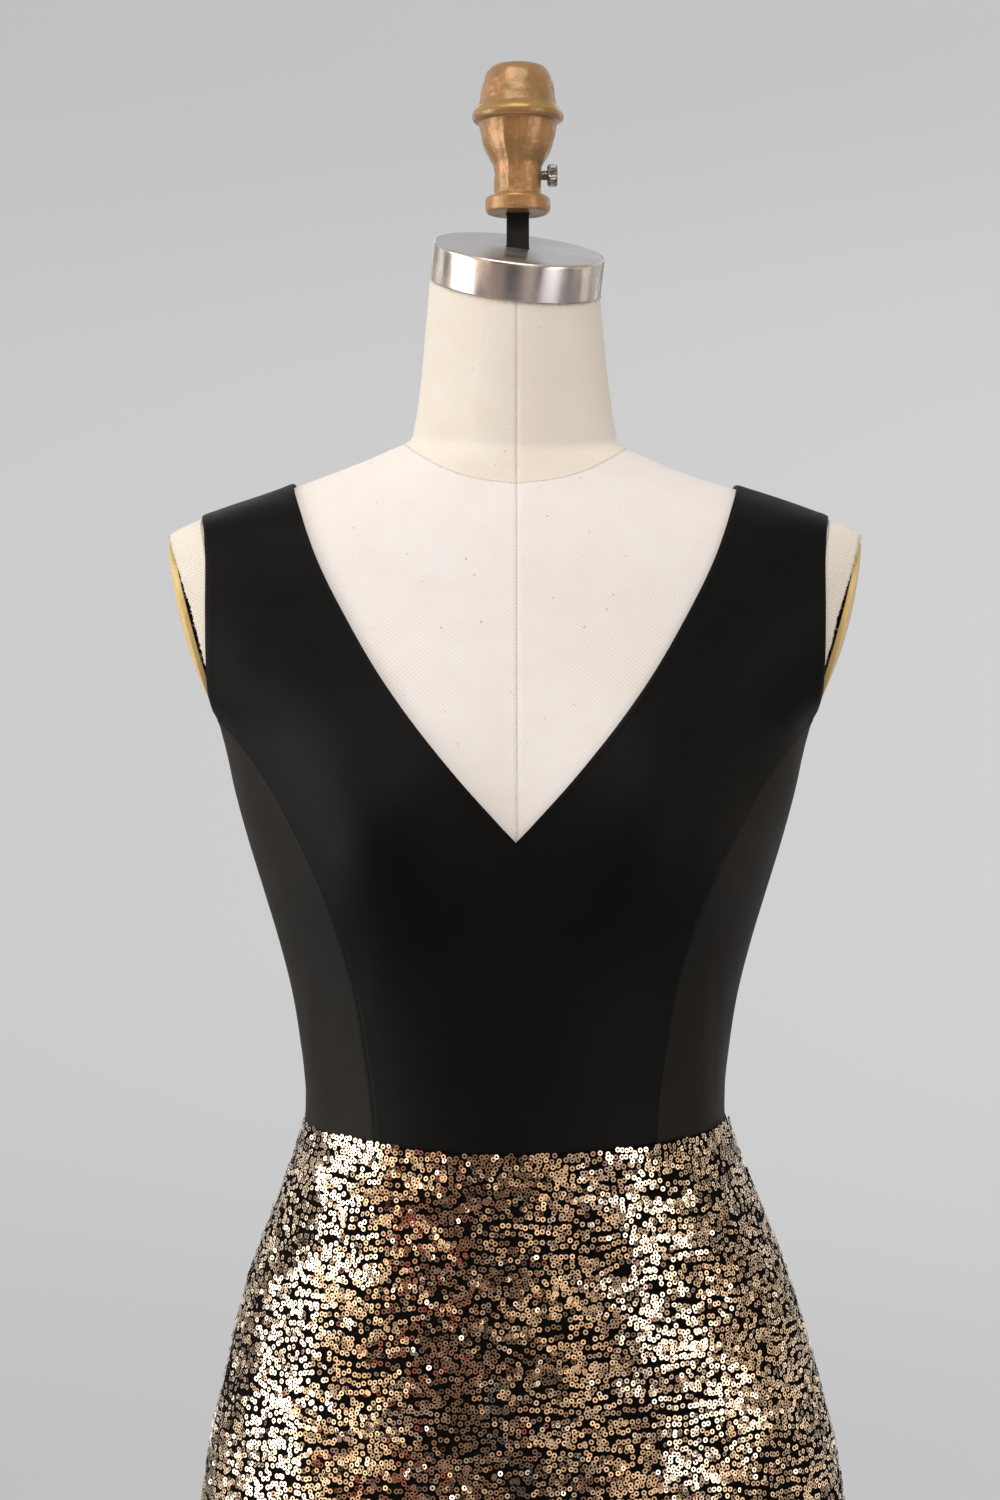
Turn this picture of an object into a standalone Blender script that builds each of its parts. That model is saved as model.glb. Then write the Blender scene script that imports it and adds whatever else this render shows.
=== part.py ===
"""Sleeveless sequin maxi dress, standing on its limbless dress form.

Metres, +Z up. The front of the dress faces -Y, and left and right are as seen from the front,
so left is -X. The origin is on the floor, under the middle of the stand.

The form is a stack of rings, one for each row of BODY. A point on it is found from an angle
(0 at the centre front, 90 degrees at the right side, 180 at the centre back) and a ring height.
The bodice is cut from the same rings, let out by the ease of the cloth, and the skirt has rings
of its own, which hang free of the form below the hip.
"""

import math

import bmesh
import bpy
import numpy as np
from mathutils import Matrix

MM = 0.001
COLLECTION_NAME = "sequin_maxi_dress"

# Cloth
WALL = 1.2 * MM
SEAM_GAP = 0.3 * MM
PRINCESS_INSET = 0.25 * MM
EASE = 1.35 * MM
BUST_EASE = 2.2 * MM
ZIP_EASE = 1.8 * MM
ZIP_EASE_ANGLE = 14.0
WAIST_HEIGHT = 1.055
WAIST_DIP = 0.0081
HEM_HEIGHT = 0.022
V_POINT_HEIGHT = 1.2195
BACK_NECK_HEIGHT = 1.322
SIDE_SEAM_ANGLE = 92.0
STRAP_INNER = 0.1278
STRAP_OUTER = 0.1805

# Rings of the form. Half widths and depths are from the ring's centre. A ring above the
# shoulders leans forward and, at the top of the neck, also down to the right.
BODY = np.array([
    # height, half width, front depth, back depth, centre y, lean deg, roll deg
    (0.740, 0.1600, 0.0900, 0.1000, 0.000, 0.0, 0.0),
    (0.790, 0.1672, 0.0985, 0.1130, 0.000, 0.0, 0.0),
    (0.833, 0.1700, 0.1010, 0.1160, 0.000, 0.0, 0.0),
    (0.868, 0.1680, 0.1020, 0.1150, 0.000, 0.0, 0.0),
    (0.903, 0.1640, 0.1020, 0.1120, 0.000, 0.0, 0.0),
    (0.938, 0.1570, 0.1010, 0.1060, 0.000, 0.0, 0.0),
    (0.973, 0.1475, 0.0990, 0.0980, 0.000, 0.0, 0.0),
    (1.008, 0.1345, 0.0960, 0.0900, 0.000, 0.0, 0.0),
    (1.055, 0.1198, 0.0918, 0.0816, 0.000, 0.0, 0.0),
    (1.072, 0.1194, 0.0912, 0.0805, 0.000, 0.0, 0.0),
    (1.100, 0.1222, 0.0920, 0.0815, 0.000, 0.0, 0.0),
    (1.130, 0.1270, 0.0940, 0.0845, 0.000, 0.0, 0.0),
    (1.160, 0.1345, 0.0960, 0.0885, 0.000, 0.0, 0.0),
    (1.190, 0.1435, 0.0980, 0.0930, 0.000, 0.0, 0.0),
    (1.220, 0.1528, 0.0985, 0.0970, 0.000, 0.0, 0.0),
    (1.250, 0.1610, 0.0970, 0.1000, 0.000, 0.0, 0.0),
    (1.270, 0.1654, 0.0945, 0.1015, 0.000, 0.0, 0.0),
    (1.285, 0.1698, 0.0920, 0.1025, 0.000, 0.0, 0.0),
    (1.300, 0.1810, 0.0885, 0.1030, 0.000, 0.0, 0.0),
    (1.325, 0.2000, 0.0825, 0.1020, 0.000, 0.0, 0.0),
    (1.350, 0.2110, 0.0760, 0.0995, 0.000, 0.0, 0.0),
    (1.372, 0.2130, 0.0705, 0.0945, 0.000, 0.0, 0.0),
    (1.388, 0.2060, 0.0655, 0.0885, 0.000, 0.0, 0.0),
    (1.3975, 0.1965, 0.0620, 0.0840, 0.000, 0.0, 0.0),
    (1.4068, 0.1745, 0.0580, 0.0780, 0.000, 0.0, 0.0),
    (1.4188, 0.1400, 0.0530, 0.0710, 0.000, 2.0, 0.0),
    (1.4320, 0.1010, 0.0500, 0.0640, 0.000, 5.0, 0.8),
    (1.4430, 0.0745, 0.0492, 0.0588, 0.000, 7.6, 1.0),
    (1.4500, 0.0612, 0.0487, 0.0550, 0.000, 9.4, 1.1),
    (1.4580, 0.0586, 0.0485, 0.0530, -0.001, 11.0, 1.2),
    (1.480, 0.0550, 0.0480, 0.0495, -0.004, 14.0, 2.0),
    (1.510, 0.0520, 0.0480, 0.0485, -0.008, 17.0, 4.5),
    (1.539, 0.0494, 0.0484, 0.0484, -0.011, 19.0, 6.5),
])
BUST_DEPTH = 0.022
BUST_APART = 0.085
BUST_HEIGHT = 1.222
BUST_WIDE = 0.050
BUST_TALL = 0.060

# Rings of the inside of the skirt. Flare is where the folds have their full depth.
SKIRT = np.array([
    # height, half width, front depth, back depth, fold share, centre x
    (0.022, 0.2450, 0.1930, 0.1918, 1.00, 0.0000),
    (0.200, 0.2350, 0.1760, 0.1790, 0.86, 0.0008),
    (0.400, 0.2235, 0.1570, 0.1630, 0.64, 0.0022),
    (0.600, 0.2100, 0.1370, 0.1460, 0.36, 0.0036),
    (0.750, 0.1965, 0.1190, 0.1310, 0.12, 0.0044),
    (0.838, 0.1845, 0.1105, 0.1235, 0.03, 0.0046),
    (0.873, 0.1793, 0.1075, 0.1205, 0.00, 0.0043),
    (0.908, 0.1708, 0.1055, 0.1170, 0.00, 0.0037),
    (0.943, 0.1620, 0.1035, 0.1110, 0.00, 0.0026),
    (0.978, 0.1511, 0.1010, 0.1035, 0.00, 0.0020),
    (1.013, 0.1372, 0.0980, 0.0945, 0.00, 0.0015),
    (1.035, 0.1285, 0.0955, 0.0885, 0.00, 0.0011),
    (1.065, 0.1195, 0.0930, 0.0825, 0.00, 0.0008),
])

# Soft folds that fall from the hip. A fold stands out from the skirt by its depth at the hem.
FOLDS = np.array([
    # angle deg, depth, half width deg
    (-152.0, 0.017, 9.0),
    (-123.0, 0.014, 10.0),
    (-90.0, 0.013, 9.0),
    (-63.0, 0.016, 9.0),
    (-39.0, 0.013, 8.0),
    (-13.0, 0.017, 10.0),
    (18.0, 0.012, 9.0),
    (45.0, 0.017, 9.0),
    (68.0, 0.012, 8.0),
    (90.0, 0.013, 8.0),
    (118.0, 0.017, 10.0),
    (149.0, 0.014, 9.0),
    (180.0, 0.013, 10.0),
])

# Seams and edges of the bodice
FRONT_PRINCESS = np.array([
    # height, angle deg
    (1.040, 39.7),
    (1.100, 42.5),
    (1.150, 44.0),
    (1.190, 46.5),
    (1.225, 52.0),
    (1.250, 58.0),
    (1.272, 68.0),
    (1.290, 80.0),
])
BACK_PRINCESS = np.array([
    # height, angle deg
    (1.040, 148.5),
    (1.100, 146.0),
    (1.150, 142.5),
    (1.200, 136.0),
    (1.250, 126.0),
    (1.285, 116.5),
    (1.305, 110.8),
])
FRONT_NECK = np.array([
    # height, distance from the centre line
    (1.2195, 0.0000),
    (1.2430, 0.0230),
    (1.2760, 0.0508),
    (1.3090, 0.0742),
    (1.3430, 0.0942),
    (1.3775, 0.1116),
    (1.4030, 0.1212),
    (1.4226, STRAP_INNER),
])
BACK_NECK = np.array([
    # height, distance from the centre line
    (1.3220, 0.0000),
    (1.3250, 0.0280),
    (1.3380, 0.0620),
    (1.3600, 0.0890),
    (1.3850, 0.1095),
    (1.4100, 0.1225),
    (1.4226, STRAP_INNER),
])
FRONT_ARMHOLE = np.array([
    # height, distance from the centre line
    (1.2900, 0.1710),
    (1.3000, 0.1738),
    (1.3200, 0.1746),
    (1.3500, 0.1750),
    (1.3850, 0.1760),
    (1.3960, 0.1775),
    (1.4042, STRAP_OUTER),
])
BACK_ARMHOLE = np.array([
    # height, distance from the centre line
    (1.3050, 0.1728),
    (1.3200, 0.1735),
    (1.3500, 0.1750),
    (1.3850, 0.1785),
    (1.4042, STRAP_OUTER),
])
UNDERARM_HEIGHT = 1.280

# How finely the cloth and the form are divided. Rows crowd towards the shoulder by RIDGE_POWER,
# and towards the waist of the skirt by HIP_POWER.
FRONT_COLUMNS = 10
SIDE_COLUMNS = 4
BACK_COLUMNS = 7
BODICE_ROWS = 11
STRAP_ROWS = 16
SKIRT_ROWS = 17
SKIRT_STEP = 6.0
BODY_STEPS = 44
RIDGE_POWER = 1.7
HIP_POWER = 1.35

# Zip
ZIP_TAPE_HALF = 0.011
ZIP_TAPE_WALL = 1.0 * MM
ZIP_TAPE_GAP = 0.8 * MM
ZIP_BOTTOM = 0.860
ZIP_TOP_OPEN = 1.9 * MM
SLIDER_HEIGHT = 1.3125
SLIDER_SIZE = (4.6 * MM, 2.0 * MM, 9.0 * MM)
SLIDER_STEM = 1.3 * MM
BAIL_BAR = 1.0 * MM
BAIL_WIDE = 1.4 * MM
BAIL_HOLE = (2.0 * MM, 1.8 * MM)
BAIL_ABOVE = 1.5 * MM
STEM_TALL = 4.0 * MM
PULL_THICK = 0.9 * MM
PULL_BAR_HALF = 0.4 * MM
PULL_SLOT = (1.4 * MM, 3.4 * MM)
PULL_DROP = np.array([
    # below the bar mm, half width mm
    (-0.4, 1.9),
    (0.0, 2.3),
    (3.4, 2.3),
    (7.0, 2.2),
    (12.0, 2.8),
    (16.0, 3.3),
    (18.6, 2.9),
    (20.2, 1.6),
    (20.6, 0.5),
])

# Arm plates: a slanted cut across each shoulder, closed by a thin domed oval that stands off the
# cut on a hub, so that a slit is left round its rim
PLATE_TOP = (0.1995, 1.3893)
PLATE_FOOT = (0.1760, 1.2995)
PLATE_WALL = 1.4 * MM
PLATE_BULGE = 3.6 * MM
PLATE_HALF_TALL = 0.0485
PLATE_HALF_DEEP = 0.0345
PLATE_CENTRE_Y = 0.0045
PLATE_STAND = 4.5 * MM
HUB_SHARE = 0.5
HUB_TOP = 2.4 * MM
PLATE_RINGS = 3
PLATE_STEPS = 28
ARM_CUT_SIZE = (0.080, 0.300, 0.135)
ARM_CUT_RAISE = 0.0155

# Neck cap, rod and finial
CAP_RADIUS = 0.0497
CAP_BAND = 0.022
CAP_EDGE = 1.2 * MM
ROD_SIZE = (13.0 * MM, 6.0 * MM)
ROD_AXIS = (0.0015, -0.0165)
ROD_FOOT = 1.510
ROD_TOP = 1.615
SLOT_ROOM = 0.4 * MM
FINIAL_FOOT = 1.5800
FINIAL = np.array([
    # radius mm, height above the foot mm
    (0.0, 85.2),
    (14.2, 85.0),
    (17.8, 82.2),
    (20.0, 76.6),
    (21.4, 70.0),
    (22.2, 62.4),
    (25.4, 60.0),
    (26.5, 57.2),
    (26.5, 54.8),
    (25.4, 53.0),
    (22.4, 52.4),
    (21.7, 46.5),
    (20.0, 38.6),
    (16.4, 31.4),
    (14.2, 27.5),
    (13.8, 24.5),
    (13.8, 10.9),
    (17.6, 10.0),
    (18.7, 8.4),
    (18.7, 1.6),
    (17.4, 0.0),
    (0.0, 0.0),
])
FINIAL_STEPS = 24
FINIAL_BORE = 0.0515
SCREW_HEIGHT = 22.0 * MM
SCREW_RADIUS = 2.65 * MM
SCREW_ROOM = 0.35 * MM
SCREW_HEAD = (6.0 * MM, 6.0 * MM)
SCREW_HEAD_AT = 17.0 * MM
SCREW_EDGE = 0.6 * MM
SCREW_STEPS = 20

# Stand
POLE_RADIUS = 0.016
POLE_SOCKET = 0.080
BASE_RADIUS = 0.190
BASE_THICK = 0.010
BASE_FLOOR = 0.006
BASE_EDGE = 2.0 * MM
BOSS_RADIUS = 0.026
BOSS_TOP = 0.040
ROUND_STEPS = 36


for leftover in list(bpy.data.objects):
    bpy.data.objects.remove(leftover)

collection = bpy.data.collections.new(COLLECTION_NAME)
bpy.context.scene.collection.children.link(collection)
cutters = bpy.data.collections.new("cutters")
cutters.hide_render = True
bpy.context.scene.collection.children.link(cutters)


def material(name, colour, roughness, metallic):
    made = bpy.data.materials.new(name)
    made.use_nodes = True
    shader = made.node_tree.nodes["Principled BSDF"]
    shader.inputs["Base Color"].default_value = (*colour, 1.0)
    shader.inputs["Roughness"].default_value = roughness
    shader.inputs["Metallic"].default_value = metallic
    return made


SATIN = material("black_satin", (0.007, 0.006, 0.006), 0.45, 0.0)
SEQUIN = material("gold_sequin_cloth", (0.52, 0.38, 0.22), 0.35, 0.8)
LINEN = material("cream_linen", (0.86, 0.78, 0.68), 0.85, 0.0)
GOLD = material("gold_paint", (0.62, 0.38, 0.12), 0.40, 0.6)
BRUSHED = material("brushed_aluminium", (0.70, 0.69, 0.68), 0.35, 1.0)
BLACK_METAL = material("black_metal", (0.02, 0.02, 0.02), 0.45, 0.3)
COPPER = material("copper_paint", (0.40, 0.20, 0.11), 0.40, 0.5)
STEEL = material("weathered_steel", (0.35, 0.33, 0.30), 0.45, 1.0)
ZIP_CLOTH = material("zip_tape", (0.015, 0.014, 0.014), 0.80, 0.0)
ZIP_METAL = material("black_zip_enamel", (0.02, 0.02, 0.02), 0.35, 0.2)


def smooth_columns(rows, value):
    """The table's other columns at value, along a cubic curve through the rows."""
    keys = rows[:, 0]
    slopes = np.gradient(rows[:, 1:], keys, axis=0)
    value = np.clip(value, keys[0], keys[-1])
    low = np.clip(np.searchsorted(keys, value) - 1, 0, len(keys) - 2)
    span = (keys[low + 1] - keys[low])[..., None]
    part = (value[..., None] - keys[low][..., None]) / span
    start = (1 + 2 * part) * (1 - part) ** 2 * rows[low, 1:]
    end = part**2 * (3 - 2 * part) * rows[low + 1, 1:]
    leave = part * (1 - part) ** 2 * span * slopes[low]
    arrive = part**2 * (part - 1) * span * slopes[low + 1]
    return start + end + leave + arrive


def ring_point(angle, half_width, front, back):
    """x and y of a point of an ellipse with one depth in front and another behind."""
    ahead = np.cos(angle)
    return half_width * np.sin(angle), -np.where(ahead > 0, front, back) * ahead


def bust_share(angle, height, x):
    """How far the bust is let out: 1 at its two fullest places, and 0 away from them."""
    across = (np.abs(x) - BUST_APART) / BUST_WIDE
    along = (height - BUST_HEIGHT) / BUST_TALL
    return np.exp(-(across**2) - along**2) * np.sqrt(np.clip(np.cos(angle), 0, 1))


def body_point(angle, height):
    """A point of the form: an ellipse, with the bust let out, leaned and rolled at the neck."""
    sizes = smooth_columns(BODY, height)
    half_width, front, back, centre, lean, roll = np.moveaxis(sizes, -1, 0)
    x, y = ring_point(angle, half_width, front, back)
    y = y - BUST_DEPTH * bust_share(angle, height, x)
    lean, roll = np.radians(lean), np.radians(roll)
    return np.stack([
        x * np.cos(roll) + y * np.sin(lean) * np.sin(roll),
        centre + y * np.cos(lean),
        height + y * np.sin(lean) * np.cos(roll) - x * np.sin(roll),
    ], axis=-1)


def skirt_point(angle, height):
    """A point of the inside of the skirt: an ellipse, pushed out where a fold falls. The skirt
    hangs a little to the right of the middle."""
    half_width, front, back, share, centre = np.moveaxis(smooth_columns(SKIRT, height), -1, 0)
    degrees = np.degrees(angle)
    push = np.zeros_like(half_width)
    for at, depth, half in FOLDS:
        away = (degrees - at + 180) % 360 - 180
        push = push + depth * np.exp(-((away / half) ** 2))
    push = push * np.clip(share, 0, 1)
    x, y = ring_point(angle, half_width, front, back)
    reach = np.hypot(x, y)
    return np.stack([centre + x + push * x / reach, y + push * y / reach, height], axis=-1)


def outward(surface, angle, height):
    """The unit normal of a surface, from its two tangents."""
    step = 1e-4
    around = surface(angle + step, height) - surface(angle - step, height)
    upward = surface(angle, height + step) - surface(angle, height - step)
    normal = np.cross(around, upward)
    return normal / np.linalg.norm(normal, axis=-1, keepdims=True)


def zip_ease(angle):
    """The room that the zip needs between the cloth and the form, at the centre back."""
    away = (np.abs(np.degrees(angle)) - 180) / ZIP_EASE_ANGLE
    return ZIP_EASE * np.exp(-(away**2))


def bodice_point(angle, height):
    """A point of the inside of the bodice: the form, let out by the ease."""
    point = body_point(angle, height)
    room = EASE + zip_ease(angle) + BUST_EASE * bust_share(angle, height, point[..., 0])
    return point + room[..., None] * outward(body_point, angle, height)


def waist_height(angle):
    """The waist seam dips at the centre front."""
    return WAIST_HEIGHT - WAIST_DIP * np.clip(np.cos(angle), 0, 1) ** 2


def edge_angle(height, from_centre):
    """The angle, in front, of the point of a ring that lies from_centre from the middle."""
    half_width = smooth_columns(BODY, height)[..., 0]
    return np.arcsin(np.clip(from_centre / half_width, 0, 1))


def ridge_height(from_centre):
    """The height of the shoulder ridge, where the rings narrow to from_centre."""
    upper = BODY[BODY[:, 1].argmax():]
    low, high = upper[0, 0], upper[-1, 0]
    for _ in range(40):
        middle = (low + high) / 2
        wider = smooth_columns(BODY, np.array(middle))[0] > from_centre
        low, high = (middle, high) if wider else (low, middle)
    return (low + high) / 2


def up_to_ridge(start, top, rows):
    """Heights from start to the ridge, closer together as the cloth turns over the shoulder."""
    left = 1 - np.linspace(0, 1, rows + 1)[1:]
    return top - (top - start) * left**RIDGE_POWER


def seam_line(rows, heights):
    """Angles of a seam, in radians, at the heights."""
    return np.radians(smooth_columns(rows, heights)[..., 0])


def strap_edge(rows, heights):
    """Angles of a neck or armhole edge, in front, at the heights."""
    return edge_angle(heights, smooth_columns(rows, heights)[..., 0])


def between(first, second, columns):
    """Rows of values, each running from the first edge's value to the second's."""
    share = np.linspace(0, 1, columns + 1)
    return first[:, None] * (1 - share) + second[:, None] * share


def moved_off(edge, inner, gap):
    """An edge's points moved over the cloth towards the next row, square to the edge."""
    along = np.gradient(edge, axis=0)
    along /= np.linalg.norm(along, axis=-1, keepdims=True)
    way = inner - edge
    way -= along * (way * along).sum(axis=-1, keepdims=True)
    return edge + gap * way / np.linalg.norm(way, axis=-1, keepdims=True)


def drawn_in(points, edges, gap=SEAM_GAP / 2):
    """Moves the named edges of a grid of points in by half of the gap of a seam."""
    points = points.copy()
    ends = {"bottom": (0, 1), "top": (-1, -2), "first": (0, 1), "last": (-1, -2)}
    for name in edges:
        grid = points if name in ("bottom", "top") else points.swapaxes(0, 1)
        edge, inner = ends[name]
        grid[edge] = moved_off(grid[edge], grid[inner], gap)
    return points


def finish(obj, look, sharp=40.0):
    obj.data.materials.append(look)
    obj.data.shade_smooth()
    obj.data.set_sharp_from_angle(angle=math.radians(sharp))
    return obj


def add_object(name, mesh, where=collection):
    obj = bpy.data.objects.new(name, mesh)
    where.objects.link(obj)
    return obj


def sheet(name, points, look, wall=WALL, mirrored=False):
    """An open grid of points, (rows, columns, 3), given its wall on the outside."""
    rows, columns = points.shape[:2]
    index = np.arange(rows * columns).reshape(rows, columns)
    corners = [index[:-1, :-1], index[:-1, 1:], index[1:, 1:], index[1:, :-1]]
    mesh = bpy.data.meshes.new(name)
    mesh.from_pydata(points.reshape(-1, 3), [], np.stack(corners, -1).reshape(-1, 4).tolist())
    obj = finish(add_object(name, mesh), look)
    if mirrored:
        mirror = obj.modifiers.new("Mirror", "MIRROR")
        mirror.merge_threshold = 0.0001
    solidify = obj.modifiers.new("Solidify", "SOLIDIFY")
    solidify.thickness = wall
    solidify.offset = 1.0
    return obj


def pair(name, points, look):
    """A right panel, and a left one that is its mirror image."""
    sheet(name + "_right", points, look)
    sheet(name + "_left", points[:, ::-1] * (-1, 1, 1), look)


def bodice_centre_front():
    """One panel from princess seam to princess seam, with the V and both straps."""
    share = np.linspace(0, 1, BODICE_ROWS + 1)
    low_in = waist_height(np.zeros(1)) * (1 - share) + V_POINT_HEIGHT * share
    seam_foot = waist_height(np.radians(FRONT_PRINCESS[:1, 1]))
    low_out = seam_foot * (1 - share) + FRONT_PRINCESS[-1, 0] * share
    high_in = up_to_ridge(V_POINT_HEIGHT, ridge_height(STRAP_INNER), STRAP_ROWS)
    high_out = up_to_ridge(FRONT_PRINCESS[-1, 0], ridge_height(STRAP_OUTER), STRAP_ROWS)
    inner = np.concatenate([np.zeros(len(low_in)), strap_edge(FRONT_NECK, high_in)])
    outer = np.concatenate([seam_line(FRONT_PRINCESS, low_out), strap_edge(FRONT_ARMHOLE, high_out)])
    angles = between(inner, outer, FRONT_COLUMNS)
    heights = between(np.append(low_in, high_in), np.append(low_out, high_out), FRONT_COLUMNS)
    heights[0] = waist_height(angles[0])
    points = drawn_in(bodice_point(angles, heights), ["bottom", "top"])
    points[: len(share)] = drawn_in(points[: len(share)], ["last"], PRINCESS_INSET)
    points[: len(share), 0, 0] = 0
    sheet("bodice_centre_front", points, SATIN, mirrored=True)


def bodice_sides():
    """The panels under the arm, before and behind the side seam."""
    share = np.linspace(0, 1, BODICE_ROWS + 1)
    side = np.full(len(share), math.radians(SIDE_SEAM_ANGLE))
    side_high = WAIST_HEIGHT * (1 - share) + UNDERARM_HEIGHT * share
    for name, seam, first in (
        ("bodice_side_front", FRONT_PRINCESS, True),
        ("bodice_side_back", BACK_PRINCESS, False),
    ):
        foot = waist_height(np.radians(seam[:1, 1]))
        high = foot * (1 - share) + seam[-1, 0] * share
        line = seam_line(seam, high)
        if first:
            angles, heights = between(line, side, SIDE_COLUMNS), between(high, side_high, SIDE_COLUMNS)
        else:
            angles, heights = between(side, line, SIDE_COLUMNS), between(side_high, high, SIDE_COLUMNS)
        heights[0] = waist_height(angles[0])
        pair(name, drawn_in(bodice_point(angles, heights), ["bottom", "first", "last"]), SATIN)


def bodice_backs():
    """The back panels, from the back princess seams to the zip, with the back straps."""
    share = np.linspace(0, 1, BODICE_ROWS + 1)
    low_seam = WAIST_HEIGHT * (1 - share) + BACK_PRINCESS[-1, 0] * share
    low_zip = WAIST_HEIGHT * (1 - share) + BACK_NECK_HEIGHT * share
    high_arm = up_to_ridge(BACK_PRINCESS[-1, 0], ridge_height(STRAP_OUTER), STRAP_ROWS)
    high_neck = up_to_ridge(BACK_NECK_HEIGHT, ridge_height(STRAP_INNER), STRAP_ROWS)
    arm = math.pi - strap_edge(BACK_ARMHOLE, high_arm)
    neck = math.pi - strap_edge(BACK_NECK, high_neck)
    seam = np.concatenate([seam_line(BACK_PRINCESS, low_seam), arm])
    middle = np.concatenate([np.full(len(share), math.pi), neck])
    angles = between(seam, middle, BACK_COLUMNS)
    heights = between(np.append(low_seam, high_arm), np.append(low_zip, high_neck), BACK_COLUMNS)
    points = drawn_in(bodice_point(angles, heights), ["bottom", "top"])
    low = len(share)
    points[:low] = drawn_in(points[:low], ["first", "last"])
    points[low - 1, -1, 0] = ZIP_TOP_OPEN
    pair("bodice_back", points, SATIN)


def skirt_rows():
    """Ring heights down the skirt as shares of its length, closer together over the hip."""
    return np.linspace(0, 1, SKIRT_ROWS + 1) ** HIP_POWER


def skirt_grid(start, end):
    count = round((end - start) / SKIRT_STEP)
    angles = np.radians(np.linspace(start, end, count + 1))
    top = waist_height(angles)
    share = skirt_rows()[::-1, None]
    heights = top * (1 - share) + HEM_HEIGHT * share
    return drawn_in(skirt_point(np.broadcast_to(angles, heights.shape), heights), ["top", "first", "last"])


def skirt():
    """One front panel from side seam to side seam, and two back panels that meet at the zip."""
    sheet("skirt_front", skirt_grid(-SIDE_SEAM_ANGLE, SIDE_SEAM_ANGLE), SEQUIN)
    sheet("skirt_back_right", skirt_grid(SIDE_SEAM_ANGLE, 180.0), SEQUIN)
    sheet("skirt_back_left", skirt_grid(-180.0, -SIDE_SEAM_ANGLE), SEQUIN)


def cutter(name, mesh, matrix=Matrix()):
    obj = add_object(name, mesh, cutters)
    obj.matrix_world = matrix
    obj.display_type = "WIRE"
    obj.hide_render = True
    return obj


def box_mesh(name, size, centre=(0, 0, 0)):
    made = bmesh.new()
    placing = Matrix.Translation(centre) @ Matrix.Diagonal((*size, 1))
    bmesh.ops.create_cube(made, size=1.0, matrix=placing)
    mesh = bpy.data.meshes.new(name)
    made.to_mesh(mesh)
    made.free()
    return mesh


def rod_mesh(name, radius, low, high, steps):
    """An upright cylinder between two heights."""
    made = bmesh.new()
    placing = Matrix.Translation((0, 0, (low + high) / 2))
    bmesh.ops.create_cone(
        made,
        cap_ends=True,
        segments=steps,
        radius1=radius,
        radius2=radius,
        depth=high - low,
        matrix=placing,
    )
    mesh = bpy.data.meshes.new(name)
    made.to_mesh(mesh)
    made.free()
    return mesh


def boolean(obj, other, operation="DIFFERENCE"):
    modifier = obj.modifiers.new(other.name, "BOOLEAN")
    modifier.operation = operation
    modifier.object = other


def turned(name, profile, look, matrix=Matrix(), steps=ROUND_STEPS):
    """A profile of (radius, height) rows, top to bottom, turned about its upright axis."""
    mesh = bpy.data.meshes.new(name)
    points = [(radius, 0, height) for radius, height in profile]
    mesh.from_pydata(points, [(at, at + 1) for at in range(len(points) - 1)], [])
    obj = add_object(name, mesh)
    obj.matrix_world = matrix
    mesh.materials.append(look)
    screw = obj.modifiers.new("Screw", "SCREW")
    screw.steps = steps
    screw.render_steps = steps
    screw.use_merge_vertices = True
    screw.merge_threshold = 0.00001
    screw.use_smooth_shade = True
    return obj


def torso():
    """The linen covered form, closed at the neck and below, with its sockets and armholes."""
    heights = BODY[:, 0]
    angles = np.arange(BODY_STEPS) * 2 * math.pi / BODY_STEPS
    across, up = np.meshgrid(angles, heights)
    points = body_point(across, up)
    made = bmesh.new()
    rings = [[made.verts.new(point) for point in ring] for ring in points]
    for low, high in zip(rings[:-1], rings[1:]):
        for at in range(BODY_STEPS):
            after = (at + 1) % BODY_STEPS
            made.faces.new((low[at], low[after], high[after], high[at]))
    made.faces.new(rings[0][::-1])
    made.faces.new(rings[-1])
    mesh = bpy.data.meshes.new("form_torso")
    made.to_mesh(mesh)
    made.free()
    obj = finish(add_object("form_torso", mesh), LINEN)
    for side in (1, -1):
        boolean(obj, arm_cutter(side))
    socket = rod_mesh("pole_socket", POLE_RADIUS + SLOT_ROOM, 0.7, BODY[0, 0] + POLE_SOCKET, ROUND_STEPS)
    boolean(obj, cutter("pole_socket", socket))
    boolean(obj, rod_slot("neck_pocket", ROD_FOOT, ROD_TOP))


def plate_frame(side):
    """Middle of an arm plate's rim, its slanted upright and its outward normal."""
    top, foot = np.array(PLATE_TOP), np.array(PLATE_FOOT)
    upright = (top - foot) / np.linalg.norm(top - foot)
    middle = (top + foot) / 2
    centre = np.array([side * middle[0], PLATE_CENTRE_Y, middle[1]])
    return centre, np.array([side * upright[0], 0, upright[1]]), np.array([side * upright[1], 0, -upright[0]])


def arm_cutter(side):
    """A slab whose inner face is the plane that the arm plate is fixed to."""
    centre, upright, normal = plate_frame(side)
    rotation = Matrix((normal, (0, side, 0), upright)).transposed().to_4x4()
    middle = centre + normal * (ARM_CUT_SIZE[0] / 2 - PLATE_WALL - PLATE_STAND) + upright * ARM_CUT_RAISE
    name = f"arm_cut_{'right' if side > 0 else 'left'}"
    return cutter(name, box_mesh(name, ARM_CUT_SIZE), Matrix.Translation(middle) @ rotation)


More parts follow.
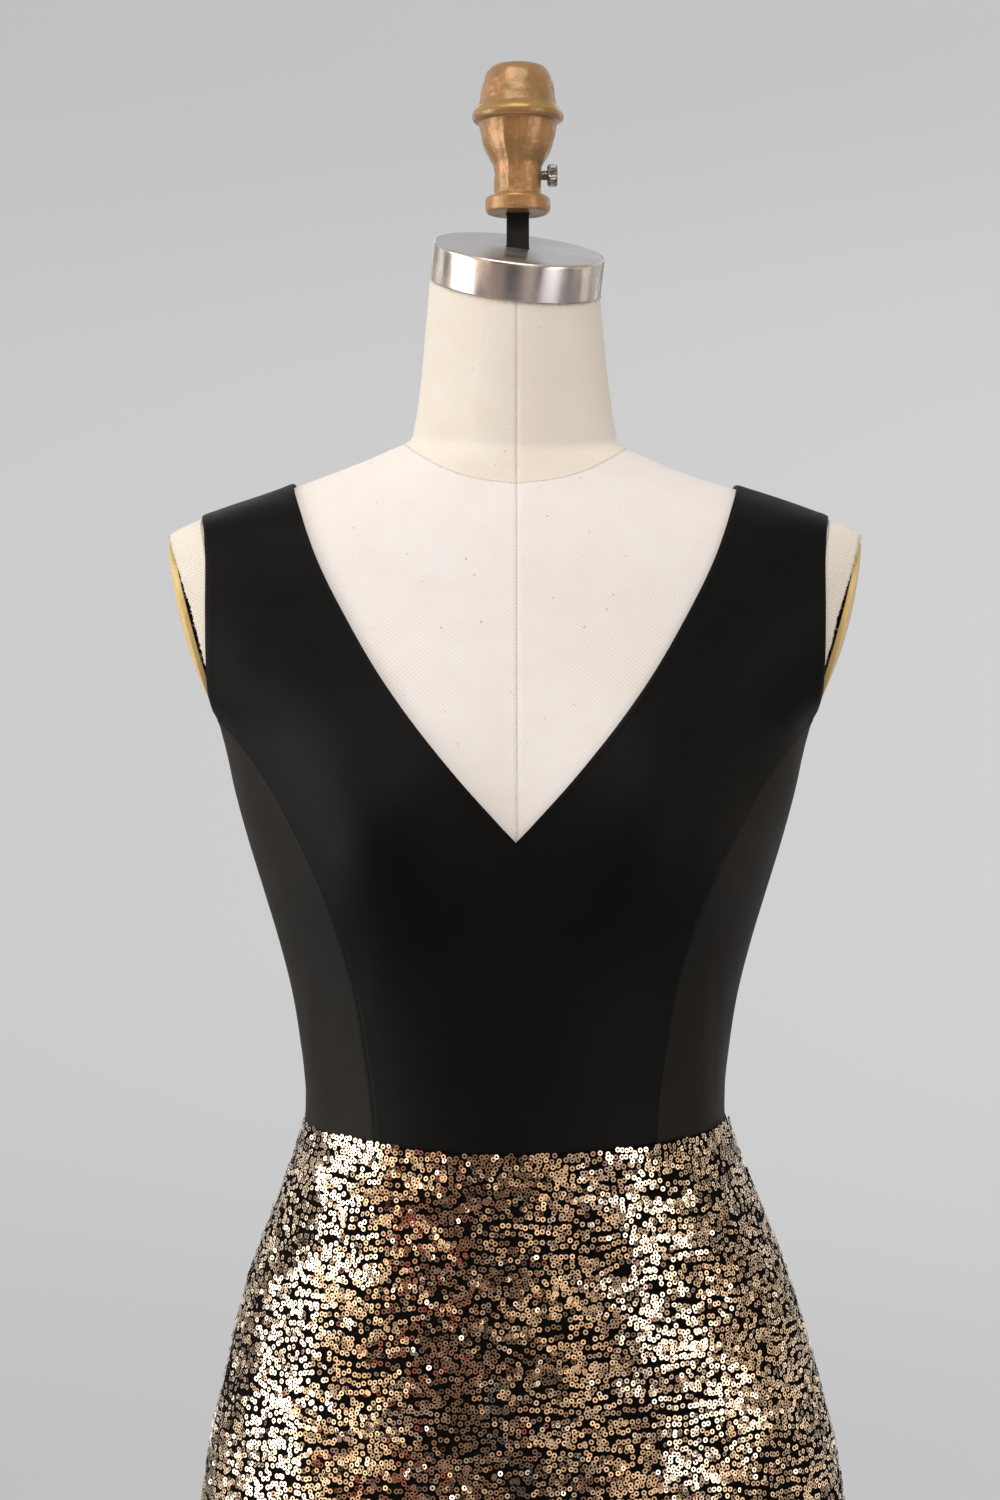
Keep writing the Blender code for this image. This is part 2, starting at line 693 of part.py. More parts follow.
def arm_plate(side):
    """A thin oval plate, domed outwards, that closes the armhole of the form, and its hub."""
    name = f"arm_plate_{'right' if side > 0 else 'left'}"
    centre, upright, normal = plate_frame(side)
    share = np.arange(1, PLATE_RINGS + 1)[:, None, None] / PLATE_RINGS
    angle = np.arange(PLATE_STEPS)[None, :, None] * 2 * math.pi / PLATE_STEPS
    deep = PLATE_HALF_DEEP * np.cos(angle) * np.array([0, side, 0])
    tall = PLATE_HALF_TALL * np.sin(angle) * upright
    points = centre + share * (deep + tall) + normal * (PLATE_BULGE * (1 - share**2) - PLATE_WALL)
    made = bmesh.new()
    middle = made.verts.new(centre + normal * (PLATE_BULGE - PLATE_WALL))
    rings = [[made.verts.new(point) for point in ring] for ring in points]
    for at in range(PLATE_STEPS):
        after = (at + 1) % PLATE_STEPS
        made.faces.new((middle, rings[0][at], rings[0][after]))
        for near, far in zip(rings[:-1], rings[1:]):
            made.faces.new((near[at], far[at], far[after], near[after]))
    mesh = bpy.data.meshes.new(name)
    made.to_mesh(mesh)
    made.free()
    obj = finish(add_object(name, mesh), GOLD)
    solidify = obj.modifiers.new("Solidify", "SOLIDIFY")
    solidify.thickness = PLATE_WALL
    solidify.offset = 1.0
    axes = Matrix((np.array([0, side, 0]), upright, normal)).transposed().to_4x4()
    scale = Matrix.Diagonal((HUB_SHARE * PLATE_HALF_DEEP, HUB_SHARE * PLATE_HALF_TALL, 1, 1))
    hub = rod_mesh("plate_hub", 1.0, SEAM_GAP - PLATE_WALL - PLATE_STAND, HUB_TOP, PLATE_STEPS)
    boolean(obj, cutter("plate_hub", hub, Matrix.Translation(centre) @ axes @ scale), "UNION")


def rod_slot(name, low, high, room=SLOT_ROOM):
    """An upright slot for the flat rod, between two heights."""
    size = (ROD_SIZE[0] + 2 * room, ROD_SIZE[1] + 2 * room, high - low)
    return cutter(name, box_mesh(name, size, (*ROD_AXIS, (low + high) / 2)))


def neck():
    """The metal cap on the slanted top of the neck, and the flat rod that stands in it."""
    *_, centre, lean, roll = BODY[-1]
    frame = Matrix.Translation((0, centre, BODY[-1, 0]))
    frame = frame @ Matrix.Rotation(math.radians(roll), 4, "Y") @ Matrix.Rotation(math.radians(lean), 4, "X")
    top = CAP_BAND + SEAM_GAP
    profile = [
        (0, top),
        (CAP_RADIUS - CAP_EDGE, top),
        (CAP_RADIUS - CAP_EDGE * 0.3, top - CAP_EDGE * 0.3),
        (CAP_RADIUS, top - CAP_EDGE),
        (CAP_RADIUS, SEAM_GAP + CAP_EDGE),
        (CAP_RADIUS - CAP_EDGE, SEAM_GAP),
        (0, SEAM_GAP),
    ]
    cap = turned("neck_cap", profile, BRUSHED, frame)
    boolean(cap, rod_slot("cap_slot", ROD_FOOT, ROD_TOP))
    low, high = ROD_FOOT + SLOT_ROOM, ROD_TOP
    size = (*ROD_SIZE, high - low)
    rod = add_object("neck_rod", box_mesh("neck_rod", size, (*ROD_AXIS, (low + high) / 2)))
    rod.data.materials.append(BLACK_METAL)


def finial():
    """The cast finial that grips the rod, with a bore for the rod and a hole for the screw."""
    foot = Matrix.Translation((*ROD_AXIS, FINIAL_FOOT))
    obj = turned("finial", FINIAL * MM, COPPER, foot, FINIAL_STEPS)
    boolean(obj, rod_slot("finial_bore", FINIAL_FOOT - CAP_BAND / 2, FINIAL_FOOT + FINIAL_BORE))
    far_end = SCREW_HEAD_AT + SCREW_HEAD[1]
    hole = rod_mesh("screw_hole", SCREW_RADIUS + SCREW_ROOM, ROD_SIZE[0] / 4, far_end, SCREW_STEPS)
    boolean(obj, cutter("screw_hole", hole, screw_frame()))


def screw_frame():
    """The screw's axis runs to the right from the middle of the rod."""
    at_screw = Matrix.Translation((*ROD_AXIS, FINIAL_FOOT + SCREW_HEIGHT))
    return at_screw @ Matrix.Rotation(math.radians(90), 4, "Y")


def thumb_screw():
    """The screw that clamps the finial: its tip ends just short of the rod."""
    tip = ROD_SIZE[0] / 2 + SEAM_GAP
    head_radius, head_long = SCREW_HEAD
    head_end = SCREW_HEAD_AT + head_long
    profile = [
        (0, head_end),
        (head_radius - SCREW_EDGE, head_end),
        (head_radius, head_end - SCREW_EDGE),
        (head_radius, SCREW_HEAD_AT + SCREW_EDGE),
        (head_radius - SCREW_EDGE, SCREW_HEAD_AT),
        (SCREW_RADIUS, SCREW_HEAD_AT),
        (SCREW_RADIUS, tip + SCREW_EDGE),
        (SCREW_RADIUS - SCREW_EDGE, tip),
        (0, tip),
    ]
    turned("thumb_screw", profile, STEEL, screw_frame(), SCREW_STEPS)


def stand():
    """A plain round base with a boss, and the pole that carries the form."""
    bore = POLE_RADIUS + SLOT_ROOM
    profile = [
        (0, BASE_FLOOR),
        (bore, BASE_FLOOR),
        (bore, BOSS_TOP),
        (BOSS_RADIUS - BASE_EDGE, BOSS_TOP),
        (BOSS_RADIUS, BOSS_TOP - BASE_EDGE),
        (BOSS_RADIUS, BASE_THICK + BASE_EDGE),
        (BOSS_RADIUS + BASE_EDGE, BASE_THICK),
        (BASE_RADIUS - BASE_EDGE, BASE_THICK),
        (BASE_RADIUS, BASE_THICK - BASE_EDGE),
        (BASE_RADIUS, 0),
        (0, 0),
    ]
    turned("stand_base", profile, BLACK_METAL)
    foot, top = BASE_FLOOR + SEAM_GAP, BODY[0, 0] + POLE_SOCKET - SEAM_GAP
    pole = add_object("stand_pole", rod_mesh("stand_pole", POLE_RADIUS, foot, top, ROUND_STEPS))
    finish(pole, BLACK_METAL)


def zip_heights():
    """Heights of the cloth's rows at the centre back, from the foot of the zip to the neck."""
    down = WAIST_HEIGHT * (1 - skirt_rows()) + HEM_HEIGHT * skirt_rows()
    lower = down[(down > ZIP_BOTTOM) & (down < WAIST_HEIGHT)][::-1]
    share = np.linspace(0, 1, BODICE_ROWS + 1)
    return lower, WAIST_HEIGHT * (1 - share) + BACK_NECK_HEIGHT * share


def zip_tape():
    """The tape behind the centre back seam, on the inside of the cloth."""
    across = np.array([1, 0, -1]) * ZIP_TAPE_HALF
    strips = []
    for surface, heights in zip((skirt_point, bodice_point), zip_heights()):
        up = np.repeat(heights[:, None], len(across), axis=1)
        angles = math.pi - across / smooth_columns(BODY, up)[..., 0]
        inside = outward(surface, angles, up) * (ZIP_TAPE_GAP + ZIP_TAPE_WALL)
        strips.append(surface(angles, up) - inside)
    sheet("zip_tape", np.concatenate(strips), ZIP_CLOTH, wall=ZIP_TAPE_WALL)


def slider_depths():
    """How far back the cloth's inner face and the slider's two faces are, at the slider."""
    inside = float(bodice_point(np.array(math.pi), np.array(SLIDER_HEIGHT))[1])
    low_face = inside + WALL + SEAM_GAP
    return inside, low_face, low_face + SLIDER_SIZE[1]


def bail_centre():
    """The middle of the bail's hole, where the pull's bar turns."""
    return 0, slider_depths()[2] + BAIL_HOLE[1] / 2, SLIDER_HEIGHT + BAIL_ABOVE


def zip_slider():
    """The slider at the top of the zip: a body, a stem between the edges, and a bail."""
    inside, low_face, top_face = slider_depths()
    middle = (low_face + top_face) / 2
    body = box_mesh("zip_slider", SLIDER_SIZE, (0, middle, SLIDER_HEIGHT))
    obj = add_object("zip_slider", body)
    body.materials.append(ZIP_METAL)
    stem_low = inside - ZIP_TAPE_GAP + SEAM_GAP
    stem_size = (SLIDER_STEM, middle - stem_low, STEM_TALL)
    stem = box_mesh("stem", stem_size, (0, (middle + stem_low) / 2, SLIDER_HEIGHT))
    boolean(obj, cutter("stem", stem), "UNION")
    bail_low, bail_high = top_face - BAIL_BAR, top_face + BAIL_HOLE[1] + BAIL_BAR
    bail_size = (BAIL_WIDE, bail_high - bail_low, BAIL_HOLE[0] + 2 * BAIL_BAR)
    bail_middle = (0, (bail_low + bail_high) / 2, SLIDER_HEIGHT + BAIL_ABOVE)
    boolean(obj, cutter("bail", box_mesh("bail", bail_size, bail_middle)), "UNION")
    hole = box_mesh("bail_hole", (SLIDER_SIZE[0], BAIL_HOLE[1], BAIL_HOLE[0]), bail_centre())
    boolean(obj, cutter("bail_hole", hole))


def zip_pull():
    """The flat drop shaped pull. Its slot leaves a bar at the top, which turns in the bail."""
    right = [(half, -down) for down, half in PULL_DROP * MM]
    outline = right + [(-x, y) for x, y in right[::-1]]
    half, low = PULL_SLOT
    slot = [(-half, -PULL_BAR_HALF), (half, -PULL_BAR_HALF), (half, -low), (-half, -low)]
    curve = bpy.data.curves.new("zip_pull", "CURVE")
    curve.dimensions = "2D"
    curve.fill_mode = "BOTH"
    curve.extrude = PULL_THICK / 2
    for points in (outline, slot):
        spline = curve.splines.new("POLY")
        spline.points.add(len(points) - 1)
        for at, (x, y) in enumerate(points):
            spline.points[at].co = (x, y, 0, 1)
        spline.use_cyclic_u = True
    curve.materials.append(ZIP_METAL)
    obj = add_object("zip_pull", curve)
    obj.location = bail_centre()
    obj.rotation_euler = (math.radians(90), 0, 0)


bodice_centre_front()
bodice_sides()
bodice_backs()
skirt()
torso()
for arm in (1, -1):
    arm_plate(arm)
neck()
finial()
thumb_screw()
stand()
zip_tape()
zip_slider()
zip_pull()
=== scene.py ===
"""Looks of a sleeveless sequin maxi dress on its limbless dress form.

Metres, +Z up. The front of the dress faces -Y, and left and right are as seen from the front.
The pieces follow in the order in which the real ones are put together: the stand, the linen
form and its fittings, then the bodice, the zip, the skirt and its sequins, then the studio.
"""

import math

import bmesh
import bpy
import numpy as np
from mathutils import Matrix


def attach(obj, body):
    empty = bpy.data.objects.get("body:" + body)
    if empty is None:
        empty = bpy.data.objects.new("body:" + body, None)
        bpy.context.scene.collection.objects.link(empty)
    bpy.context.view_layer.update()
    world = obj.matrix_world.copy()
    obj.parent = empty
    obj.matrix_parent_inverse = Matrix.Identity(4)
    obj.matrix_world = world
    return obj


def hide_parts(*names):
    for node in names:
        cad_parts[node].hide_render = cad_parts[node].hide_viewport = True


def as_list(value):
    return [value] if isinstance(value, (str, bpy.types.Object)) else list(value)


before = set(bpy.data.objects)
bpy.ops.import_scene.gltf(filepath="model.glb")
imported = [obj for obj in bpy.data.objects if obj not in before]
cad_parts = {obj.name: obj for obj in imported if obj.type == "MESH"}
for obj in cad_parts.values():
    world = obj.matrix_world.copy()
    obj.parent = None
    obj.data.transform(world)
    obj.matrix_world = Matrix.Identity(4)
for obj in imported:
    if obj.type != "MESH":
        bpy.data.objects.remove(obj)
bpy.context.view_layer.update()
MM = 0.001
HANDS = ((1, "right"), (-1, "left"))

# ---------------------------------------------------------------------------------------------
# Stand base: a round cast iron plate with a boss, powder coated satin black. The boss is bored
# for the pole, and the plate's edge is rounded.

BASE_STEPS = 128
BASE_PROFILE = np.array([
    # radius mm, height mm, corner radius mm
    (0, 0, 0), (190, 0, 1.6), (190, 10, 3.2), (29.5, 10.2, 3), (26, 14, 2), (26, 40, 2.4),
    (16.4, 40, 0.6), (16.4, 6, 0), (0, 6, 0),
])
POWDER_BLACK = (0.006, 0.006, 0.0065)


def rounded(rows, steps=5):
    """A profile whose corners are rounded: each corner gives way to a quadratic curve that starts
    and ends at the corner's radius from it, or at half of a shorter side."""
    points = [rows[0, :2]]
    for before, (*corner, radius), after in zip(rows[:-2], rows[1:-1], rows[2:]):
        corner = np.array(corner)
        if radius == 0:
            points.append(corner)
            continue
        back, on = before[:2] - corner, after[:2] - corner
        back *= min(radius / np.linalg.norm(back), 0.5)
        on *= min(radius / np.linalg.norm(on), 0.5)
        share = np.linspace(0, 1, steps)[:, None]
        points.extend(corner + back * (1 - share) ** 2 + on * share**2)
    points.append(rows[-1, :2])
    return np.array(points) * MM


def full_turn(steps):
    """Even angles from 0 to a full turn, both included."""
    return np.linspace(0, 2 * math.pi, steps + 1)


def distances(points):
    """How far along a line each of its points lies."""
    return np.append(0, np.cumsum(np.linalg.norm(np.diff(points, axis=0), axis=-1)))


def turned_grid(profile, steps, ripple=None):
    """A profile of (radius, height) rows, carried round the upright axis: x is the radius times
    the sine of the angle and y minus its cosine. The profile runs up the outer side. A ripple
    is added to the radius."""
    angle, radius = full_turn(steps), profile[:, :1]
    along = distances(profile)
    uv = np.broadcast_arrays(angle * radius.max(), along[:, None])
    if ripple is not None:
        radius = radius + ripple(angle, radius, profile[:, 1:])
    at = [radius * np.sin(angle), -radius * np.cos(angle), profile[:, 1:] + 0 * angle]
    return {"at": np.stack(at, -1), "uv": np.stack(uv, -1)}


def filled_mesh(points, faces, uv, **values):
    """A mesh from arrays of points, of faces with equally many corners, of a map, and of values
    that each point has."""
    mesh = bpy.data.meshes.new("piece")
    count, corners = faces.shape
    mesh.vertices.add(len(points))
    mesh.vertices.foreach_set("co", points.astype(np.float32).ravel())
    mesh.loops.add(count * corners)
    mesh.loops.foreach_set("vertex_index", faces.astype(np.int32).ravel())
    mesh.polygons.add(count)
    mesh.polygons.foreach_set("loop_start", np.arange(0, count * corners, corners, dtype=np.int32))
    mesh.update(calc_edges=True)
    layer = mesh.uv_layers.new(name="UVMap")
    layer.data.foreach_set("uv", uv[faces.ravel()].astype(np.float32).ravel())
    for name, value in values.items():
        layer = mesh.attributes.new(name, "FLOAT", "POINT")
        layer.data.foreach_set("value", value.astype(np.float32))
    return mesh


def weld(mesh, distance=1e-6):
    """Joins the points of a mesh that meet, and takes out what this leaves without an area."""
    made = bmesh.new()
    made.from_mesh(mesh)
    bmesh.ops.remove_doubles(made, verts=made.verts, dist=distance)
    bmesh.ops.dissolve_degenerate(made, edges=made.edges, dist=distance)
    made.to_mesh(mesh)
    made.free()


def grid_mesh(grids, weld_at=1e-6):
    """A mesh of quads through one or more grids. A grid is a dict of arrays of (rows, columns):
    "at" holds points, "uv" an optional map in metres, and any other name is a point's value.
    Rows run up and columns to the right as seen from outside. Points that meet are welded."""
    places, quads, maps, values, used = [], [], [], {}, 0
    for grid in grids:
        shape = grid["at"].shape[:2]
        index = np.arange(math.prod(shape)).reshape(shape) + used
        corners = [index[:-1, :-1], index[:-1, 1:], index[1:, 1:], index[1:, :-1]]
        quads.append(np.stack(corners, -1).reshape(-1, 4))
        places.append(grid["at"].reshape(-1, 3))
        maps.append(grid.get("uv", grid["at"][..., [0, 2]]).reshape(-1, 2))
        for key in grid.keys() - {"at", "uv"}:
            values.setdefault(key, []).append(np.broadcast_to(grid[key], shape).ravel())
        used += index.size
    values = {key: np.concatenate(value) for key, value in values.items()}
    mesh = filled_mesh(*map(np.concatenate, (places, quads, maps)), **values)
    if weld_at:
        weld(mesh, weld_at)
    return mesh


def fill_sockets(tree, made, values):
    """Sets or links a node's sockets, by name or number. A colour's alpha is added here."""
    for key, value in values.items():
        socket = made.inputs[key]
        if isinstance(value, bpy.types.NodeSocket):
            tree.links.new(value, socket)
        else:
            socket.default_value = (*value, 1.0) if socket.type == "RGBA" else value


def shade(look, **sockets):
    """Sets or links sockets of the material's shader."""
    values = {name.replace("_", " "): value for name, value in sockets.items()}
    fill_sockets(look.node_tree, look.node_tree.nodes["Principled BSDF"], values)
    return look


def material(name, colour, roughness, metallic=0.0, **sockets):
    """A Principled material. Values that are the same all over are set on the shader itself."""
    look = bpy.data.materials.new(name)
    look.use_nodes = True
    return shade(look, Base_Color=colour, Roughness=roughness, Metallic=metallic, **sockets)


def node(look, kind, into=(), **options):
    """Adds a node. Options are its settings, and into holds its sockets' values or links."""
    made = look.node_tree.nodes.new("ShaderNode" + kind)
    for option, value in options.items():
        setattr(made, option, value)
    fill_sockets(look.node_tree, made, dict(into))
    return made


def maths(look, operation, first, second=0.0, third=0.0):
    """The result of a Math node."""
    into = {0: first, 1: second, 2: third}
    return node(look, "Math", into, operation=operation).outputs[0]


def times(look, first, second, plus=0.0):
    """First times second, plus a third value."""
    return maths(look, "MULTIPLY_ADD", first, second, plus)


def wave(look, value, length):
    """A sine wave of the given length."""
    return maths(look, "SINE", times(look, value, 2 * math.pi / length))


def noise(look, where, scale, detail=3, rough=0.5):
    """Smooth noise, 0 to 1, with scale features in a metre."""
    into = {"Vector": where, "Scale": scale, "Detail": detail, "Roughness": rough}
    return node(look, "TexNoise", into).outputs["Fac"]


def ramp(look, value, low, high, to_low=0.0, to_high=1.0):
    """Carries low to to_low and high to to_high, smoothly, and no further."""
    into = {"Value": value, "From Min": low, "From Max": high, "To Min": to_low, "To Max": to_high}
    return node(look, "MapRange", into, interpolation_type="SMOOTHSTEP").outputs["Result"]


def layers(look, colour, *over):
    """A colour with others laid over it in turn, each by its own share."""
    for share, upper in over:
        into = {0: share, 6: colour, 7: upper}
        colour = node(look, "Mix", into, data_type="RGBA").outputs[2]
    return colour


def raised(look, height, distance, **under):
    """A bump of the given depth in metres, on top of another's Normal if one is given."""
    into = {"Height": height, "Distance": distance, "Strength": 1.0, **under}
    return node(look, "Bump", into).outputs[0]


def on_object(look):
    """Places in metres on the object itself."""
    return node(look, "TexCoord").outputs["Object"]


def on_map(look):
    """Places in metres on the piece's own map."""
    return node(look, "UVMap", uv_map="UVMap").outputs[0]


def parts(look, vector):
    """The three parts of a vector."""
    return node(look, "SeparateXYZ", {0: vector}).outputs


def add_object(name, data):
    """Adds an object to the scene."""
    made = bpy.data.objects.new(name, data)
    bpy.context.scene.collection.objects.link(made)
    return made


def add_piece(name, mesh, look, body="form", stands_for=(), sharp=35.0):
    """Adds a finished mesh to the scene and ties it to its body and its CAD nodes."""
    mesh.name = name
    piece = add_object(name, mesh)
    mesh.materials.clear()
    mesh.materials.append(look)
    mesh.shade_smooth()
    mesh.set_sharp_from_angle(angle=math.radians(sharp))
    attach(piece, body)
    if stands_for:
        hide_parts(*stands_for)
    return piece


def powder_coat():
    """Satin black powder coat: an orange peel bump, dust in the hollows and a worn sheen."""
    look = material("satin_black_coat", POWDER_BLACK, 0.4, Specular_IOR_Level=0.22)
    where = on_object(look)
    dust = times(look, ramp(look, noise(look, where, 30, 6, 0.65), 0.5, 0.75), 0.12)
    return shade(
        look,
        Base_Color=layers(look, POWDER_BLACK, (dust, (0.07, 0.06, 0.05))),
        Roughness=ramp(look, noise(look, where, 90, 4), 0.3, 0.7, 0.34, 0.5),
        Normal=raised(look, noise(look, where, 1400, 2), 0.00004),
    )


black_coat = powder_coat()
base = grid_mesh([turned_grid(rounded(BASE_PROFILE), BASE_STEPS)])
add_piece("stand_base_cast", base, black_coat, stands_for=["stand_base"])

# ---------------------------------------------------------------------------------------------
# Pole: a round steel tube in the same black coat. It stands in the boss of the base and is
# plugged into the form from below.

POLE_STEPS = 64
POLE_RADIUS = 16.0
POLE_ENDS = (6.3, 819.7)


def bar_profile(radius, low, high, corner=0.0):
    """The profile of a plain round bar, in mm, closed at both ends."""
    rows = [(0.0, low, 0.0), (radius, low, corner), (radius, high, corner), (0.0, high, 0.0)]
    return rounded(np.array(rows))


pole = grid_mesh([turned_grid(bar_profile(POLE_RADIUS, *POLE_ENDS, 1.0), POLE_STEPS)])
add_piece("stand_pole_tube", pole, black_coat, stands_for=["stand_pole"])

# ---------------------------------------------------------------------------------------------
# Torso of the form: a smooth padded shell covered in cream twill linen. The cover has a centre
# seam in front and behind, a curved seam where the neck is set on, and faint princess seams.

BODY = np.zeros((33, 7))
BODY[:, :4] = [
    # height, half width, front depth, back depth
    (0.74, 0.16, 0.09, 0.1), (0.79, 0.1672, 0.0985, 0.113), (0.833, 0.17, 0.101, 0.116),
    (0.868, 0.168, 0.102, 0.115), (0.903, 0.164, 0.102, 0.112), (0.938, 0.157, 0.101, 0.106),
    (0.973, 0.1475, 0.099, 0.098), (1.008, 0.1345, 0.096, 0.09), (1.055, 0.1198, 0.0918, 0.0816),
    (1.072, 0.1194, 0.0912, 0.0805), (1.1, 0.1222, 0.092, 0.0815), (1.13, 0.127, 0.094, 0.0845),
    (1.16, 0.1345, 0.096, 0.0885), (1.19, 0.1435, 0.098, 0.093), (1.22, 0.1528, 0.0985, 0.097),
    (1.25, 0.161, 0.097, 0.1), (1.27, 0.1654, 0.0945, 0.1015), (1.285, 0.1698, 0.092, 0.1025),
    (1.3, 0.181, 0.0885, 0.103), (1.325, 0.2, 0.0825, 0.102), (1.35, 0.211, 0.076, 0.0995),
    (1.372, 0.213, 0.0705, 0.0945), (1.388, 0.206, 0.0655, 0.0885), (1.3975, 0.1965, 0.062, 0.084),
    (1.4068, 0.1745, 0.058, 0.078), (1.4188, 0.14, 0.053, 0.071), (1.432, 0.101, 0.05, 0.064),
    (1.443, 0.0745, 0.0492, 0.0588), (1.45, 0.0612, 0.0487, 0.055), (1.458, 0.0586, 0.0485, 0.053),
    (1.48, 0.055, 0.048, 0.0495), (1.51, 0.052, 0.048, 0.0485), (1.539, 0.0494, 0.0484, 0.0484),
]
BODY[-8:, 4:] = [
    # centre y, lean deg and roll deg of the neck's rings
    (0, 2, 0), (0, 5, 0.8), (0, 7.6, 1.0), (0, 9.4, 1.1), (-0.001, 11, 1.2), (-0.004, 14, 2.0),
    (-0.008, 17, 4.5), (-0.011, 19, 6.5),
]
BUST_DEPTH = 0.022
BUST_APART, BUST_HEIGHT = 0.085, 1.222
BUST_WIDE, BUST_TALL = 0.050, 0.060
NECK_SEAM = np.array([
    # angle deg, ring height
    (0, 1.424), (11.2, 1.4275), (23.5, 1.4335), (39.5, 1.4405), (61.8, 1.446), (90, 1.448),
    (180, 1.44),
])
COVER_PRINCESS = np.array([
    # ring height, angle deg
    (0.74, 34), (1.05, 40), (1.2, 47), (1.3, 44), (1.38, 37), (1.425, 40),
])
TORSO_STEPS, FINE_FROM = (0.014, 0.003), 1.18
SEAM_OFFSETS = np.array([0, 0.12, 0.26, 0.45, 0.8, 1.3])
SEAM_DIP = 0.45 * MM
SEAM_HALF = 0.8 * MM
SEAM_ASIDE = 0.6 * MM
NECK_HALF = 2.2 * MM
PLATE_TOP, PLATE_FOOT = np.array([0.1995, 1.3893]), np.array([0.1760, 1.2995])
PLATE_SEAT = 5.9 * MM
PLATE_CENTRE_Y = 0.0045
ARM_CUT_SIZE = (0.080, 0.300, 0.135)
ARM_CUT_RAISE = 0.0155
SOCKET_RADIUS, SOCKET_TOP = 0.0164, 0.820
ROD_SIZE = (13.0 * MM, 6.0 * MM)
ROD_AXIS = (0.0015, -0.0165)
ROD_FOOT, ROD_TOP = 1.510, 1.615
SLOT_ROOM = 0.4 * MM
FORM_MAP = 0.13
LINEN = (0.68, 0.652, 0.64)
# Dark brown card, darkened as painted shade for the slit by the arm plates.
SHADED_CARD_BROWN = (0.045, 0.028, 0.018)


def smooth_columns(rows, value):
    """The table's other columns at value, along a cubic curve through the rows."""
    keys = rows[:, 0]
    slopes = np.gradient(rows[:, 1:], keys, axis=0)
    value = np.clip(value, keys[0], keys[-1])
    low = np.clip(np.searchsorted(keys, value) - 1, 0, len(keys) - 2)
    span = (keys[low + 1] - keys[low])[..., None]
    part = (value[..., None] - keys[low][..., None]) / span
    start = (1 + 2 * part) * (1 - part) ** 2 * rows[low, 1:]
    end = part**2 * (3 - 2 * part) * rows[low + 1, 1:]
    leave = part * (1 - part) ** 2 * span * slopes[low]
    arrive = part**2 * (part - 1) * span * slopes[low + 1]
    return start + end + leave + arrive


def smooth_value(rows, value):
    """The table's second column at value, along the same curve."""
    return smooth_columns(rows, value)[..., 0]


def ring_point(angle, half_width, front, back):
    """x and y of a point of an ellipse with one depth in front and another behind."""
    ahead = np.cos(angle)
    return half_width * np.sin(angle), -np.where(ahead > 0, front, back) * ahead


def bust_share(angle, height, x):
    """How far the bust is let out: 1 at its two fullest places, and 0 away from them."""
    across = (np.abs(x) - BUST_APART) / BUST_WIDE
    along = (height - BUST_HEIGHT) / BUST_TALL
    return np.exp(-(across**2) - along**2) * np.sqrt(np.clip(np.cos(angle), 0, 1))


def body_point(angle, height):
    """A point of the form: an ellipse, with the bust let out, leaned and rolled at the neck."""
    half_width, front, back, centre, lean, roll = np.moveaxis(smooth_columns(BODY, height), -1, 0)
    x, y = ring_point(angle, half_width, front, back)
    y = y - BUST_DEPTH * bust_share(angle, height, x)
    lean, roll = np.radians(lean), np.radians(roll)
    return np.stack([
        x * np.cos(roll) + y * np.sin(lean) * np.sin(roll),
        centre + y * np.cos(lean),
        height + y * np.sin(lean) * np.cos(roll) - x * np.sin(roll),
    ], axis=-1)


def unit(vectors):
    """Vectors divided by their lengths."""
    return vectors / np.linalg.norm(vectors, axis=-1, keepdims=True)


def outward(surface, angle, height, step=1e-4):
    """The unit normal of a surface, from its two tangents."""
    around = surface(angle + step, height) - surface(angle - step, height)
    upward = surface(angle, height + step) - surface(angle, height - step)
    return unit(np.cross(around, upward))


def bell(value, half):
    """1 at 0, falling off smoothly over half."""
    return np.exp(-((value / half) ** 2))


def degrees_from(at, angle):
    """How far an angle in radians lies from one in degrees, by the shorter way, in degrees."""
    return (np.degrees(angle) - at + 180) % 360 - 180


def plate_frame(side):
    """Middle of an arm plate's rim, its slanted upright and its outward normal."""
    (x, z), (up_x, up_z) = (PLATE_TOP + PLATE_FOOT) / 2, unit(PLATE_TOP - PLATE_FOOT)
    centre = np.array([side * x, PLATE_CENTRE_Y, z])
    return centre, np.array([side * up_x, 0, up_z]), np.array([side * up_z, 0, -up_x])


def beyond_cut(side, points):
    """Distance of points outside the plane that the form's arm is cut off by."""
    centre, _, normal = plate_frame(side)
    return (points - centre) @ normal + PLATE_SEAT


def box_mesh(size, matrix):
    """A box of a size, carried by a matrix from the origin, its middle."""
    made = bmesh.new()
    bmesh.ops.create_cube(made, size=1.0, matrix=matrix @ Matrix.Diagonal((*size, 1)))
    mesh = bpy.data.meshes.new("box")
    made.to_mesh(mesh)
    made.free()
    return mesh


def cut_away(*meshes):
    """The first mesh with the others taken from it, exactly."""
    carrier, *cutters = [add_object("cut", mesh) for mesh in meshes]
    for cutter in cutters:
        carrier.modifiers.new("Cut", "BOOLEAN").object = cutter
    graph = bpy.context.evaluated_depsgraph_get()
    made = bpy.data.meshes.new_from_object(carrier.evaluated_get(graph))
    for used in (carrier, *cutters):
        bpy.data.objects.remove(used)
    return made


def rod_slot(low, high):
    """An upright slot for the flat rod, between two heights."""
    size = (ROD_SIZE[0] + 2 * SLOT_ROOM, ROD_SIZE[1] + 2 * SLOT_ROOM, high - low)
    return box_mesh(size, Matrix.Translation((*ROD_AXIS, (low + high) / 2)))


def arm_cutter(side):
    """A slab whose inner face is the plane that the arm plate is fixed to."""
    centre, upright, normal = plate_frame(side)
    rotation = Matrix((normal, (0, side, 0), upright)).transposed().to_4x4()
    middle = centre + normal * (ARM_CUT_SIZE[0] / 2 - PLATE_SEAT) + upright * ARM_CUT_RAISE
    return box_mesh(ARM_CUT_SIZE, Matrix.Translation(middle) @ rotation)


